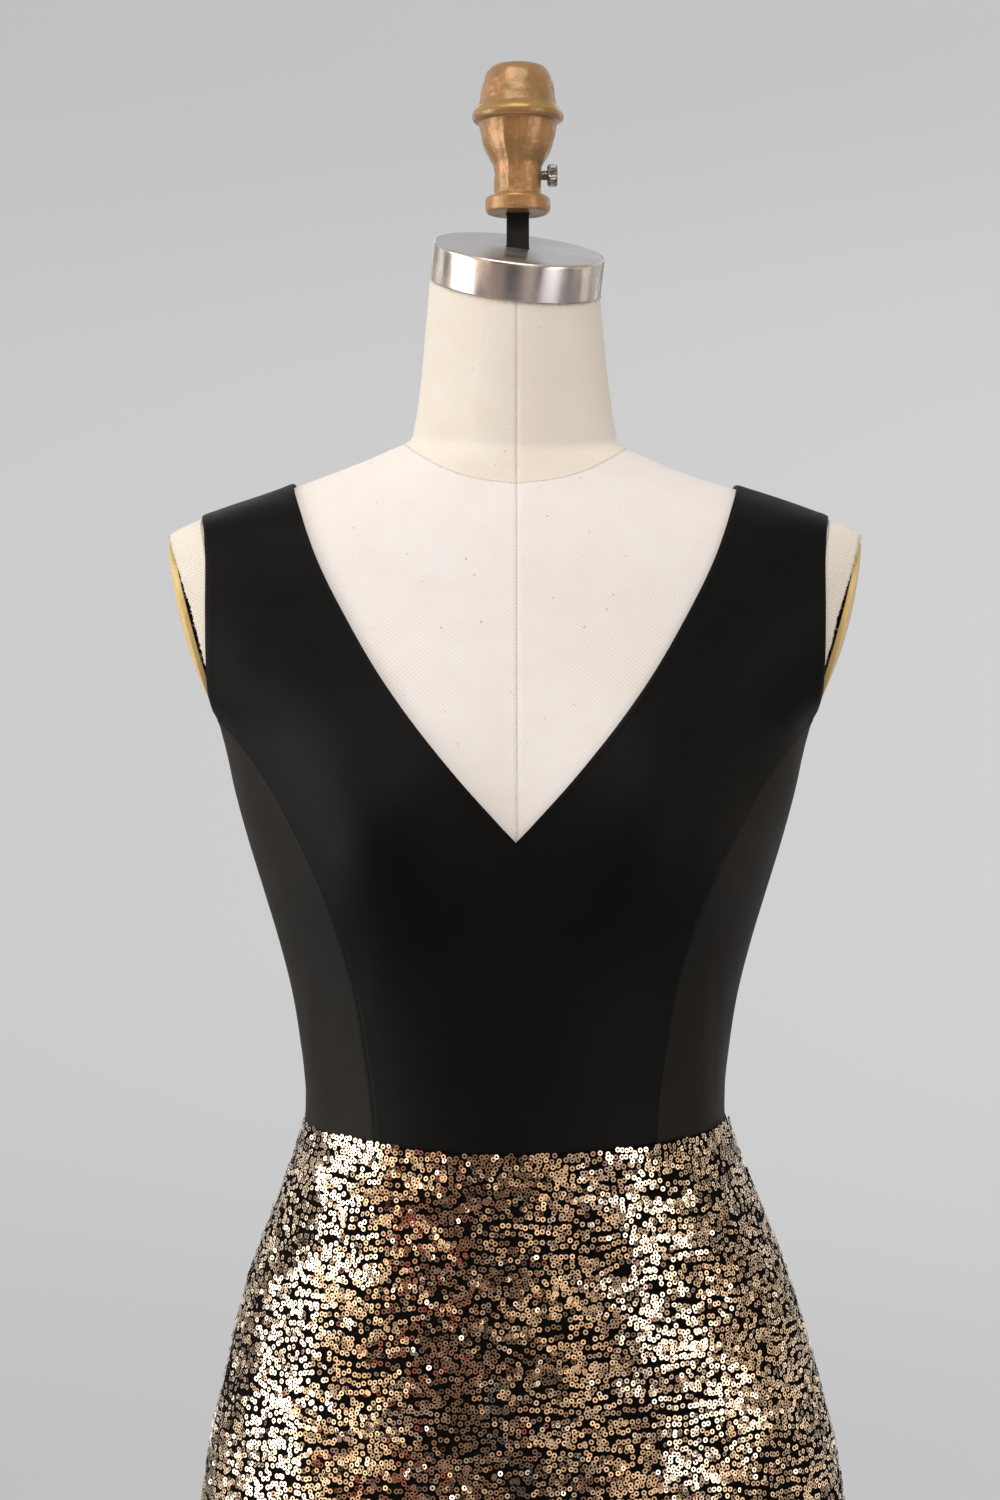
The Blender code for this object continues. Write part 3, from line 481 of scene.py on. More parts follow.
def torso_grid():
    """body_point at each angle and height, moved along its normal by bells that dip it at its
    seams and swell it beside them, and closed by a socket below and a lid above."""
    even = np.linspace(-180, 180, 181)
    near = [SEAM_OFFSETS - 180, 180 - SEAM_OFFSETS, SEAM_OFFSETS, -SEAM_OFFSETS]
    degrees = np.unique(np.round(np.concatenate([even, *near]), 9))
    angles = np.radians(degrees[np.append(True, np.diff(degrees) > SEAM_OFFSETS[1] / 2)])
    (foot, top), (coarse, fine) = BODY[[0, -1], 0], TORSO_STEPS
    rows = [np.arange(foot, FINE_FROM, coarse), np.arange(FINE_FROM, top, fine), [top]]
    angle, height = np.meshgrid(angles, np.concatenate(rows))
    points, normal = body_point(angle, height), outward(body_point, angle, height)
    neck = height - smooth_value(NECK_SEAM, np.abs(np.degrees(angle)))
    aside = np.abs(np.degrees(angle)) - smooth_value(COVER_PRINCESS, height)
    princess = aside * math.pi / 180 * smooth_value(BODY, height)
    centre = points[..., 0] - SEAM_ASIDE
    dip = bell(centre, SEAM_HALF) + 1.3 * bell(neck, NECK_HALF) * bell(points[..., 1] - 0.02, 0.12)
    swell = 0.35 * bell(neck + 5 * MM, 4 * MM) + 0.25 * bell(np.abs(centre) - 2.5 * MM, 1.6 * MM)
    points = points + normal * ((swell - dip) * SEAM_DIP)[..., None]
    socket = np.zeros((3, len(angles), 3))
    socket[1:, :, :2] = np.stack([np.sin(angles), -np.cos(angles)], -1) * SOCKET_RADIUS
    socket[..., 2] = np.array([SOCKET_TOP, SOCKET_TOP, foot])[:, None]
    lid = np.broadcast_to(points[-1].mean(axis=0), points[-1].shape)
    grid = {
        "uv": np.stack([angle * FORM_MAP, height], -1),
        "neck_seam": neck,
        "below_cap": top - height,
        "centre_seam": centre,
        "princess_seam": princess,
    }
    row = np.concatenate([[0, 0, 0], np.arange(len(height)), [-1]])
    grid = {key: value[row] for key, value in grid.items()}
    return {**grid, "at": np.concatenate([socket, points, lid[None]])}


def value_of(look, name):
    """A value that each point of the piece has."""
    return node(look, "Attribute", attribute_name=name).outputs["Fac"]


def linen():
    """Cream twill: slanting ribs, uneven yarns, faint stains, and thread along the seams. The
    neck is yellower, with broad waves on its left, and its right half is darkened as painted
    shade; it is also darker in ragged patches just under its cap."""
    look = material("cream_twill", LINEN, 0.85, Sheen_Weight=0.15, Sheen_Roughness=0.5)
    where, cloth = on_object(look), on_map(look)
    on_neck = ramp(look, value_of(look, "neck_seam"), -0.3 * MM, 0.5 * MM)
    on_right = ramp(look, value_of(look, "centre_seam"), -0.3 * MM, 0.3 * MM)
    across, up, _ = parts(look, cloth)
    ribs = wave(look, times(look, maths(look, "ABSOLUTE", across), 0.95, up), 2.05 * MM)
    weave = times(look, ribs, 0.3, noise(look, cloth, 2600, 2))
    wander = times(look, noise(look, cloth, 25, 2), 9 * MM, across)
    broad = wave(look, times(look, up, 0.28, wander), -1.8 * MM)
    left_neck = times(look, on_neck, maths(look, "SUBTRACT", 1.0, on_right))
    # Distance under the cap, with ragged noise, for the darker patches there.
    under_cap_dark = times(look, noise(look, where, 240, 3, 0.7), -9 * MM, value_of(look, "below_cap"))
    thread = 0.0
    seams = (("centre", 0.22, 0.5), ("neck", 0.28, 0.5), ("princess", 0.2, 0.14))
    for seam, half, strength in seams:
        away = maths(look, "ABSOLUTE", value_of(look, f"{seam}_seam"))
        near = ramp(look, away, 0.3 * half * MM, 1.9 * half * MM, strength, 0.0)
        if seam == "princess":
            near = times(look, near, maths(look, "SUBTRACT", 1.0, on_neck))
        thread = maths(look, "MAXIMUM", near, thread)
    stitch = ramp(look, noise(look, where, 900, 1), 0.35, 0.6, 0.45, 1.0)
    speck = ramp(look, noise(look, where, 300, 1), 0.765, 0.80, 0.0, 0.6)
    colour = layers(
        look, LINEN,
        (ramp(look, noise(look, where, 9, 4, 0.6), 0.35, 0.7), (0.675, 0.63, 0.598)),
        (times(look, on_neck, 0.85), (0.735, 0.695, 0.615)),
        # Painted shade: the neck's right half is darker.
        (times(look, times(look, on_neck, on_right), 0.5), (0.63, 0.55, 0.45)),
        (ramp(look, noise(look, where, 60, 3), 0.35, 0.7, 0.0, 0.35), (0.66, 0.58, 0.50)),
        (ramp(look, weave, 0.1, 1.0, 0.42, 0.0), (0.52, 0.45, 0.38)),
        (times(look, ramp(look, broad, -1.0, 1.0, 0.42, 0.0), left_neck), (0.45, 0.36, 0.26)),
        # Darker in ragged patches just under the cap.
        (ramp(look, under_cap_dark, -4.6 * MM, -2.2 * MM, 0.75, 0.0), (0.54, 0.42, 0.30)),
        (maths(look, "MAXIMUM", times(look, thread, stitch), speck), (0.27, 0.20, 0.14)),
    )
    bump = raised(look, weave, 0.00006)
    return shade(look, Base_Color=colour, Normal=raised(look, thread, -0.0003, Normal=bump))


def shaded_shell_card():
    """The form's own shell, seen where its arms are cut off and on the blocks behind the arm
    plates: brown pressed card, made dark as painted shade in the slit.
    """
    look = material("shaded_card_brown", SHADED_CARD_BROWN, 0.9)
    fibres = noise(look, on_object(look), 500, 4)
    colour = layers(look, (0.02, 0.012, 0.008), (fibres, (0.08, 0.05, 0.03)))
    return shade(look, Base_Color=colour, Normal=raised(look, fibres, 0.0002))


torso = grid_mesh([torso_grid()])
torso = cut_away(torso, arm_cutter(1), arm_cutter(-1), rod_slot(ROD_FOOT, ROD_TOP))
torso_piece = add_piece("form_torso_cover", torso, linen(), stands_for=["form_torso"])
shaded_card_brown = shaded_shell_card()
middles = np.empty((len(torso.polygons), 3), np.float32)
torso.polygons.foreach_get("center", middles.ravel())
off_cuts = np.minimum(*[np.abs(beyond_cut(side, middles)) for side, _ in HANDS])
# The cut faces get the dark brown card: painted shade in the slit.
torso.materials.append(shaded_card_brown)
torso.polygons.foreach_set("material_index", (off_cuts < 0.02 * MM).astype(np.int32))

# ---------------------------------------------------------------------------------------------
# Arm plates: thin domed ovals in gold paint that close the armholes. Each stands on a block and on
# small nickel pins, so that a dark slit is left between its rim and the shell. The block and the
# shell's cut faces are dark brown card, darkened as painted shade in the slit.

PLATE_BULGE = 5.0 * MM
PLATE_OUT = 1.6 * MM
PLATE_THICK = 0.8 * MM
PLATE_HALF_DEEP, PLATE_HALF_TALL = 0.0345, 0.0485
PLATE_RIM = np.array([
    # share of the half size, height off the rim's plane mm
    (1.01, -0.3), (1.012, -1.4), (1.01, -2.9), (1.0, -3.2), (0.98, -3.2), (0.97, -3.0),
])
PLATE_STEPS = 96
BLOCK_SHARE, BLOCK_HIGH = 0.55, 3.6
PIN_RADIUS, PIN_HIGH = 0.9, 1.8
PIN_ANGLES = (18, 62, 108, 143, 187, 232, 286, 332)
PIN_SHARE = 0.95
GOLD = (0.64, 0.44, 0.155)


def plate_grid(side):
    """Ovals from the middle to the rim and back: a share of the plate's half sizes, and a height
    off its plane that falls from the bulge to nothing as the square of the share. The whole is
    moved out by PLATE_OUT, and the edge is turned down towards the shell."""
    centre, upright, normal = plate_frame(side)
    share = np.sin(np.linspace(0, math.pi / 2, 18))
    dome = PLATE_BULGE * (1 - share**2)
    share = np.concatenate([share, PLATE_RIM[:, 0], PLATE_RIM[-1, 0] * share[::-1]])[:, None]
    rise = PLATE_OUT + np.concatenate([dome, PLATE_RIM[:, 1] * MM, (dome - PLATE_THICK)[::-1]])
    across, up = share * np.cos(full_turn(PLATE_STEPS)), share * np.sin(full_turn(PLATE_STEPS))
    deep = PLATE_HALF_DEEP * across[..., None] * np.array([0, side, 0])
    tall = PLATE_HALF_TALL * up[..., None] * upright
    points = centre + deep + tall + rise[:, None, None] * normal
    return {"at": points[::-1], "uv": np.stack([across, up], -1)[::-1] * PLATE_HALF_TALL}


def plate_axes(side):
    """Turns and moves a shape made about the upright axis on to a plate's middle."""
    centre, upright, normal = plate_frame(side)
    axes = Matrix((np.array([0, side, 0]), upright, normal)).transposed().to_4x4()
    return Matrix.Translation(centre) @ axes


def placed(grid, matrix):
    """The grid with its points carried by a matrix."""
    matrix = np.array(matrix)
    return {**grid, "at": grid["at"] @ matrix[:3, :3].T + matrix[:3, 3]}


def block_grid(side):
    """The oval block behind a plate, from the shell to the inside of the dome."""
    sizes = (BLOCK_SHARE * PLATE_HALF_DEEP, BLOCK_SHARE * PLATE_HALF_TALL, 1, 1)
    profile = bar_profile(1 / MM, 0.3 - PLATE_SEAT / MM, BLOCK_HIGH)
    return placed(turned_grid(profile, 48), plate_axes(side) @ Matrix.Diagonal(sizes))


def pin_grids(side):
    """Short round pins across the slit, at the angles round the plate that the table gives."""
    pin = turned_grid(bar_profile(PIN_RADIUS, -PLATE_SEAT / MM - 0.5, PIN_HIGH), 12)
    for angle in np.radians(PIN_ANGLES):
        deep = PIN_SHARE * PLATE_HALF_DEEP * math.cos(angle)
        tall = PIN_SHARE * PLATE_HALF_TALL * math.sin(angle)
        yield placed(pin, plate_axes(side) @ Matrix.Translation((deep, tall, 0)))


def stretched(look, where, scale):
    """Places multiplied by a scale along each axis."""
    return node(look, "Mapping", {0: where, 3: scale}).outputs[0]


def gold_paint():
    """Satin gold paint, brushed on: soft streaks, a grain of fine flakes and rubbed spots."""
    look = material("gold_paint", GOLD, 0.38, 0.2, Coat_Weight=0.25, Coat_Roughness=0.25)
    where = on_object(look)
    streak = noise(look, stretched(look, where, (60, 60, 9)), 14, 4)
    rubbed = ramp(look, noise(look, where, 70, 5, 0.6), 0.6, 0.72, 0.0, 0.6)
    streaks = ramp(look, streak, 0.35, 0.65, 0.0, 0.7)
    return shade(
        look,
        Base_Color=layers(look, GOLD, (streaks, (0.70, 0.52, 0.21)), (rubbed, (0.50, 0.32, 0.11))),
        Roughness=ramp(look, streak, 0.3, 0.7, 0.3, 0.48),
        Normal=raised(look, times(look, noise(look, where, 3000, 1), 0.4, streak), 0.00003),
    )


def nickel():
    """Dull nickel with small dark pits."""
    look = material("nickel", (0.3, 0.29, 0.27), 0.35, 1.0)
    pits = ramp(look, noise(look, on_object(look), 1500, 2), 0.5, 0.65)
    return shade(look, Base_Color=layers(look, (0.32, 0.30, 0.28), (pits, (0.06, 0.05, 0.045))))


plate_gold = gold_paint()
pin_nickel = nickel()
for side, hand in HANDS:
    plate, block = grid_mesh([plate_grid(side)]), grid_mesh([block_grid(side)])
    name = f"arm_plate_{hand}"
    add_piece(f"{name}_dome", plate, plate_gold, stands_for=[name])
    # The block is dark brown card, darkened as painted shade in the slit.
    add_piece(f"{name}_block", block, shaded_card_brown)
    add_piece(f"{name}_pins", grid_mesh(list(pin_grids(side))), pin_nickel)

# ---------------------------------------------------------------------------------------------
# Armhole tape: a twill tape stuck round the edge of each armhole, its outer edge left raw, so
# that short threads stand out of it.

TAPE_WIDE = 16.0 * MM
TAPE_LOW, TAPE_HIGH = 1.298, 1.4188
TAPE_ROWS, TAPE_COLUMNS = 90, 14
TAPE_LIFT = 0.25 * MM
TAPE_THICK = 0.5 * MM
TAPE_REACH, LEAST_REACH, RAGGED = 4.2 * MM, 1.5 * MM, 0.3 * MM
TAPE_REACH_FROM = 1.352
TAPE_BEND = 0.14
FRAY_COUNT = 520
FRAY_LONG = (0.7 * MM, 2.6 * MM)
FRAY_HALF = 0.10 * MM


def halved(inside, outside, is_out):
    """The last value inside a limit, by halving between one inside and one outside it."""
    for _ in range(40):
        middle = np.asarray(inside + outside) / 2
        out = is_out(middle)
        inside, outside = np.where(out, inside, middle), np.where(out, middle, outside)
    return inside


def armhole_edge(side):
    """The line where the form meets the armhole's plane, up the front and down the back: at each
    height the angle is found by halving between a point inside the plane and one outside."""
    def is_out(angle, height):
        """Whether the form at an angle and height lies outside the plane."""
        return beyond_cut(side, body_point(angle, height)) > 0

    straight = np.array(side * math.pi / 2)
    top = halved(TAPE_HIGH, TAPE_LOW, lambda height: is_out(straight, height))
    height = TAPE_LOW + (top - 1e-5 - TAPE_LOW) * (1 - np.linspace(1, 0, TAPE_ROWS) ** 2)
    front, back = [
        halved(np.full(TAPE_ROWS, side * inner * math.pi), straight, lambda at: is_out(at, height))
        for inner in (0.2, 0.8)
    ]
    return np.append(front, back[-2::-1]), np.append(height, height[-2::-1])


def tape_lines(side):
    """The armhole's edge, the form's normal along it, the way inwards over the form, and how far
    the tape's ragged edge stands out: most at the shoulder and nothing lower down."""
    angle, height = armhole_edge(side)
    edge, skin = body_point(angle, height), outward(body_point, angle, height)
    inward = np.cross(unit(np.gradient(edge, axis=0)), skin)
    inward *= np.sign(inward[:, :1] * -side)
    reach = np.clip((height - TAPE_REACH_FROM) / (height.max() - TAPE_REACH_FROM), 0, 1)
    ragged = np.random.default_rng(5 + side).normal(0, RAGGED, len(edge))
    return edge, skin, inward, LEAST_REACH + TAPE_REACH * reach + ragged


def tape_grid(edge, skin, inward, reach):
    """From its ragged edge the tape runs in over the form, square to the armhole. It bends a
    little with the form: its drop from the tangent grows as the square of the distance."""
    share = np.concatenate([[-1, -0.5], np.linspace(0, 1, TAPE_COLUMNS)])
    across = np.where(share < 0, share * reach[:, None], share * TAPE_WIDE)[..., None]
    lift = TAPE_LIFT - across**2 / TAPE_BEND
    uv = np.stack(np.broadcast_arrays(across[..., 0], distances(edge)[:, None]), -1)
    return {"at": edge[:, None] + inward[:, None] * across + skin[:, None] * lift, "uv": uv}


def fray_mesh(edge, skin, inward, seed):
    """Threads at the raw edge: narrow three sided spikes of uneven length and lean."""
    rng = np.random.default_rng(seed)
    at = rng.uniform(0, len(edge) - 1.001, FRAY_COUNT)
    low, part = at.astype(int), (at % 1)[:, None]
    foot = edge[low] * (1 - part) + edge[low + 1] * part
    along = unit(edge[low + 1] - edge[low])
    lean = rng.normal(0, 0.7, (FRAY_COUNT, 2))
    way = unit(-inward[low] + along * lean[:, :1] + skin[low] * (0.3 + 0.5 * lean[:, 1:]))
    long = rng.uniform(*FRAY_LONG, (FRAY_COUNT, 1)) * rng.uniform(0.3, 1, (FRAY_COUNT, 1))
    foot = foot + skin[low] * (TAPE_LIFT + 0.5 * TAPE_THICK) - way * 0.5 * MM
    one, two = along * FRAY_HALF, np.cross(way, along) * FRAY_HALF
    tip = foot + way * (long + 0.5 * MM)
    points = np.stack([foot + one, foot + two, foot - one - two, tip], axis=1).reshape(-1, 3)
    first = np.arange(FRAY_COUNT)[:, None] * 4
    faces = [first + np.array(face) for face in ((0, 1, 3), (1, 2, 3), (2, 0, 3), (0, 2, 1))]
    return filled_mesh(points, np.concatenate(faces), points[:, [0, 2]])


def add_wall(piece, thick):
    """Gives a cloth its thickness, on its outside."""
    wall = piece.modifiers.new("Wall", "SOLIDIFY")
    wall.thickness = thick
    wall.offset = 1.0


def twill_tape():
    """Cream herringbone tape: ribs that slant one way and then the other."""
    look = material("cream_tape", (0.66, 0.60, 0.51), 0.9, Sheen_Weight=0.2)
    across, along, _ = parts(look, on_map(look))
    slant = times(look, maths(look, "PINGPONG", across, 2.2 * MM), 1.2, along)
    ribs = wave(look, slant, 1.7 * MM)
    tone = ramp(look, ribs, -1.0, 1.0, 0.7, 0.0)
    colour = layers(look, (0.74, 0.68, 0.60), (tone, (0.40, 0.33, 0.25)))
    return shade(look, Base_Color=colour, Normal=raised(look, ribs, 0.00008))


tape_cream = twill_tape()
for side, hand in HANDS:
    name = f"armhole_tape_{hand}"
    edge, skin, inward, reach = tape_lines(side)
    strip = tape_grid(edge, skin, inward, reach)
    if side > 0:
        strip = {key: value[::-1] for key, value in strip.items()}
    tape = grid_mesh([strip], weld_at=0)
    column = np.arange(len(tape.vertices)) % strip["at"].shape[1]
    tape_piece = add_piece(name, tape, tape_cream)
    # All but the ragged edge is pressed on to the linen under it.
    laid = tape_piece.vertex_groups.new(name="laid")
    laid.add(np.nonzero(column > 2)[0].tolist(), 1.0, "REPLACE")
    wrap = tape_piece.modifiers.new("Wrap", "SHRINKWRAP")
    wrap.target = torso_piece
    wrap.vertex_group = "laid"
    wrap.wrap_mode = "OUTSIDE_SURFACE"
    wrap.offset = TAPE_LIFT
    add_wall(tape_piece, TAPE_THICK)
    outer = edge - inward * reach[:, None] - skin * (reach[:, None] ** 2 / TAPE_BEND)
    threads = fray_mesh(outer, skin, inward, 7 + side)
    add_piece(f"{name}_threads", threads, tape_cream)
    long, wide = float(distances(edge)[-1]), TAPE_WIDE + float(reach.mean())

# ---------------------------------------------------------------------------------------------
# Neck cap: a spun aluminium cap with a rounded shoulder, brushed round its band. It is pressed
# on the slanted top of the neck, where short threads of the linen's cut edge stand out under it,
# and slotted for the rod.

CAP_STEPS, THREADS_UNDER = 160, 0.5 * MM
CAP_PROFILE = np.array([
    # radius mm, height mm above the neck, corner radius mm
    (0, 0.3, 0), (49.7, 0.3, 0.5), (49.7, 21.8, 2.2), (46.5, 22.3, 3), (0, 22.3, 0),
])


def cap_frame():
    """The cap sits square on the top ring of the neck."""
    *_, centre, lean, roll = BODY[-1]
    place = Matrix.Translation((0, centre, BODY[-1, 0]))
    rolled = Matrix.Rotation(math.radians(roll), 4, "Y")
    return place @ rolled @ Matrix.Rotation(math.radians(lean), 4, "X")


def brushed_aluminium():
    """Aluminium with fine scratches that run round it, on its band and on its flat top."""
    brushed = {"Anisotropic": 0.4, "Anisotropic_Rotation": 0.25}
    look = material("brushed_aluminium", (0.72, 0.71, 0.71), 0.3, 1.0, **brushed)
    cloth, where = on_map(look), on_object(look)
    on_top = ramp(look, parts(look, cloth)[1], 0.071, 0.075, 0.0, 0.07)
    scratch = noise(look, stretched(look, cloth, (12, 1200, 1)), 6, 3)
    cloud = times(look, noise(look, where, 45, 4), 0.40, on_top)
    pits = ramp(look, noise(look, where, 500, 1), 0.78, 0.84, 0.0, 0.5)
    return shade(
        look,
        Base_Color=layers(look, (0.66, 0.65, 0.65), (pits, (0.25, 0.22, 0.2))),
        Roughness=times(look, scratch, 0.10, cloud),
        Normal=raised(look, scratch, 0.000006),
        Tangent=node(look, "Tangent", direction_type="RADIAL", axis="Z").outputs[0],
    )


cap = grid_mesh([placed(turned_grid(rounded(CAP_PROFILE, 8), CAP_STEPS), cap_frame())])
cap = cut_away(cap, rod_slot(ROD_FOOT, ROD_TOP))
add_piece("neck_cap_spun", cap, brushed_aluminium(), stands_for=["neck_cap"])
cap_turn = np.radians(np.linspace(-180, 180, 145))
cap_foot = np.full(len(cap_turn), BODY[-1, 0] - THREADS_UNDER)
cap_edge, cap_skin = body_point(cap_turn, cap_foot), outward(body_point, cap_turn, cap_foot)
cap_up = np.broadcast_to(np.array([0.0, 0.0, 1.0]), cap_edge.shape)
add_piece("neck_cover_threads", fray_mesh(cap_edge, cap_skin, cap_up, 11), tape_cream)

# ---------------------------------------------------------------------------------------------
# Rod: a flat steel bar with eased edges, painted black. It stands upright in the neck, passes
# through the slot in the cap and carries the finial.

ROD_CORNER = 0.7 * MM


def rod_grid():
    """A rounded oblong carried upwards, drawn in at both ends, which are closed."""
    turn, (wide, deep), low = full_turn(32), ROD_SIZE, ROD_FOOT + SLOT_ROOM
    x = np.sign(np.cos(turn)) * (wide / 2 - ROD_CORNER) + ROD_CORNER * np.cos(turn)
    y = np.sign(np.sin(turn)) * (deep / 2 - ROD_CORNER) + ROD_CORNER * np.sin(turn)
    drawn = 1 - ROD_CORNER / (deep / 2)
    share = np.array([0, drawn, 1, 1, drawn, 0])[:, None]
    height = np.array([low, low, low + ROD_CORNER, ROD_TOP - ROD_CORNER, ROD_TOP, ROD_TOP])
    at = [ROD_AXIS[0] + share * x, ROD_AXIS[1] + share * y, height[:, None] + 0 * turn]
    return {"at": np.stack(at, -1)}


rod = grid_mesh([rod_grid()])
add_piece("neck_rod_bar", rod, black_coat, stands_for=["neck_rod"], sharp=60)

# ---------------------------------------------------------------------------------------------
# Finial: a rough sand casting, a dome over a flange, a bowl, a neck and a ring, in copper
# paint that has worn to yellow at its edges. A casting line runs down the front of its bowl.

FINIAL_STEPS, FINIAL_FINE = 150, 1.4 * MM
FINIAL_FOOT = 1.5800
FINIAL_BORE = (-11.0 * MM, 51.5 * MM)
FINIAL_PROFILE = np.array([
    # radius mm, height above the foot mm, corner radius mm
    (0, 0, 0), (17.6, 0, 0.9), (18.6, 1.2, 0.9), (18.7, 8.4, 1), (16.8, 9.8, 1.2),
    (13.7, 10.5, 0.6), (13.5, 16, 2), (13.6, 25, 2), (13.9, 27.6, 1.6), (16, 31, 2.6),
    (18.7, 35.6, 3), (20.8, 41.8, 4), (21.7, 47.2, 2), (22.4, 52, 0.5), (25.2, 52.8, 0.8),
    (26.4, 54.8, 1.2), (26.3, 56.6, 1.2), (25, 59, 1), (22.8, 61.6, 1.6), (21.8, 66, 3),
    (21.2, 70.5, 2), (20, 76.6, 2), (17.9, 81.9, 2.4), (14.4, 85, 1.8), (0, 85.3, 0),
])
WORN_RINGS = (
    # height mm, half width mm, strength
    (57.6, 1.5, 1.0), (9.4, 1.0, 0.9), (0.8, 1.0, 0.5), (84.4, 1.6, 0.5), (27.6, 0.9, 0.35),
)
CAST_LINE_ANGLE = -22
CAST_LINE_ENDS = (11 * MM, 51 * MM)
COPPER = (0.34, 0.18, 0.072)
SCREW_HEIGHT = 22.0 * MM
SCREW_HOLE = (3.0, 3.0, 24.0)


def random_grid(seed):
    """A square of even random numbers from -1 to 1."""
    return np.random.default_rng(seed).uniform(-1, 1, (256, 256))


def soft_noise(x, y, grid):
    """Smooth noise in -1 to 1: the grid's random values at whole numbers, blended by a cubic."""
    column, row = np.floor(x).astype(int), np.floor(y).astype(int)
    part_x, part_y = x - column, y - row
    part_x, part_y = part_x**2 * (3 - 2 * part_x), part_y**2 * (3 - 2 * part_y)
    near, far = [
        grid[(row + down) % 256, column % 256] * (1 - part_x)
        + grid[(row + down) % 256, (column + 1) % 256] * part_x
        for down in (0, 1)
    ]
    return near * (1 - part_y) + far * part_y


def even_profile(profile, step):
    """The same outline with points a step apart along it."""
    along = distances(profile)
    wanted = np.linspace(0, along[-1], round(along[-1] / step) + 1)
    wanted = np.unique(np.concatenate([wanted, along]))
    return np.stack([np.interp(wanted, along, column) for column in profile.T], -1)


def cast_ripple(angle, radius, height):
    """Lumps of the casting, at two sizes that close up round the axis, and the casting line."""
    turn = angle / (2 * math.pi)
    lumps = 0.24 * soft_noise(turn * 20 % 20, height / (4.5 * MM), random_grid(31))
    grain = 0.12 * soft_noise(turn * 90 % 90, height / (1.5 * MM), random_grid(32))
    line = degrees_from(CAST_LINE_ANGLE, angle)
    low = (height < CAST_LINE_ENDS[1]) & (height > CAST_LINE_ENDS[0])
    step = np.where(low, 0.5 * bell(line, 4.0) - 0.45 * bell(line - 13, 8.0), 0)
    return (lumps + grain + step) * MM * np.clip(radius / (4 * MM), 0, 1)


def finial_grid():
    """The profile carried round, with the ripple of the casting, and how worn each height is."""
    profile = even_profile(rounded(FINIAL_PROFILE, 4), FINIAL_FINE)
    high = profile[:, 1:] / MM
    worn = sum(strength * bell(high - at, half) for at, half, strength in WORN_RINGS)
    grid = {**turned_grid(profile, FINIAL_STEPS, cast_ripple), "worn": worn}
    return placed(grid, Matrix.Translation((*ROD_AXIS, FINIAL_FOOT)))


def copper_paint():
    """Copper bronze paint: pinkish brown, mottled olive, yellow where worn, chipped dark."""
    look = material("copper_paint", COPPER, 0.42, 0.5, Coat_Weight=0.55, Coat_Roughness=0.25)
    where = on_object(look)
    cloud = noise(look, where, 70, 5, 0.6)
    chips = ramp(look, noise(look, where, 330, 3, 0.7), 0.68, 0.73)
    ragged = times(look, noise(look, where, 260, 4), 0.9, value_of(look, "worn"))
    colour = layers(
        look, COPPER,
        (ramp(look, cloud, 0.42, 0.66), (0.25, 0.148, 0.048)),
        (ramp(look, ragged, 0.85, 1.35), (0.33, 0.21, 0.035)),
        (times(look, chips, 0.75), (0.04, 0.03, 0.025)),
    )
    rough = ramp(look, cloud, 0.3, 0.7, 0.27, 0.42)
    bump = raised(look, times(look, noise(look, where, 900, 3), 0.35, cloud), 0.00045)
    return shade(look, Base_Color=colour, Roughness=rough, Normal=bump)


def screw_frame():
    """The screw's axis runs to the right from the middle of the rod."""
    at_screw = Matrix.Translation((*ROD_AXIS, FINIAL_FOOT + SCREW_HEIGHT))
    return at_screw @ Matrix.Rotation(math.radians(90), 4, "Y")


finial = grid_mesh([finial_grid()])
finial_slot = rod_slot(FINIAL_FOOT + FINIAL_BORE[0], FINIAL_FOOT + FINIAL_BORE[1])
screw_hole = grid_mesh([placed(turned_grid(bar_profile(*SCREW_HOLE), 32), screw_frame())])
finial = cut_away(finial, finial_slot, screw_hole)
add_piece("finial_casting", finial, copper_paint(), "finial", ["finial"], sharp=50)

# ---------------------------------------------------------------------------------------------
# Thumb screw: a small steel screw with a knurled head, which clamps the finial to the rod. It
# has gone dull, with brown in the knurls.

SCREW_PROFILE = np.array([
    # radius mm, distance along the screw mm, corner radius mm
    (0, 6.8, 0), (2.3, 6.8, 0.3), (2.65, 7.4, 0.3), (2.65, 16.6, 0.2), (3.3, 17, 0.3),
    (5.2, 17, 0.5), (6, 17.9, 0.4), (6, 22.1, 0.4), (5.2, 23, 0.8), (3.6, 22.6, 0.6), (0, 22.7, 0),
])
SCREW_STEPS, SCREW_FINE = 88, 0.3 * MM
KNURLS, KNURL_HIGH = 22, 0.32
THREAD_PITCH, THREAD_HIGH = 0.9 * MM, 0.16


def screw_ripple(angle, radius, height):
    """Knurls round the head as a wave of the angle, and a thread on the shank as a slanted wave,
    both fading out at their ends and towards the axis."""
    def between_ends(low, high, fade):
        """1 between two heights in mm, falling to 0 at them."""
        to_ends = np.array([height / MM - low, high - height / MM])
        return np.clip(to_ends / fade, 0, 1).prod(axis=0)

    knurl = KNURL_HIGH * between_ends(17.3, 22.7, 0.8) * np.cos(KNURLS * angle)
    slanted = np.cos(2 * math.pi * height / THREAD_PITCH - angle)
    thread = THREAD_HIGH * between_ends(7.6, 16.2, 0.6) * slanted
    return (knurl + thread) * MM * np.clip(radius / (2.2 * MM), 0, 1) ** 4


def weathered_steel():
    """Dull grey steel with brown and dark stains."""
    look = material("weathered_steel", (0.34, 0.32, 0.30), 0.4, 1.0)
    where = on_object(look)
    stain = ramp(look, noise(look, where, 420, 4, 0.6), 0.42, 0.66)
    rough = ramp(look, noise(look, where, 800, 2), 0.3, 0.7, 0.25, 0.55)
    colour = layers(look, (0.42, 0.40, 0.38), (stain, (0.10, 0.075, 0.06)))
    return shade(look, Base_Color=colour, Roughness=rough, Normal=raised(look, stain, 0.00005))


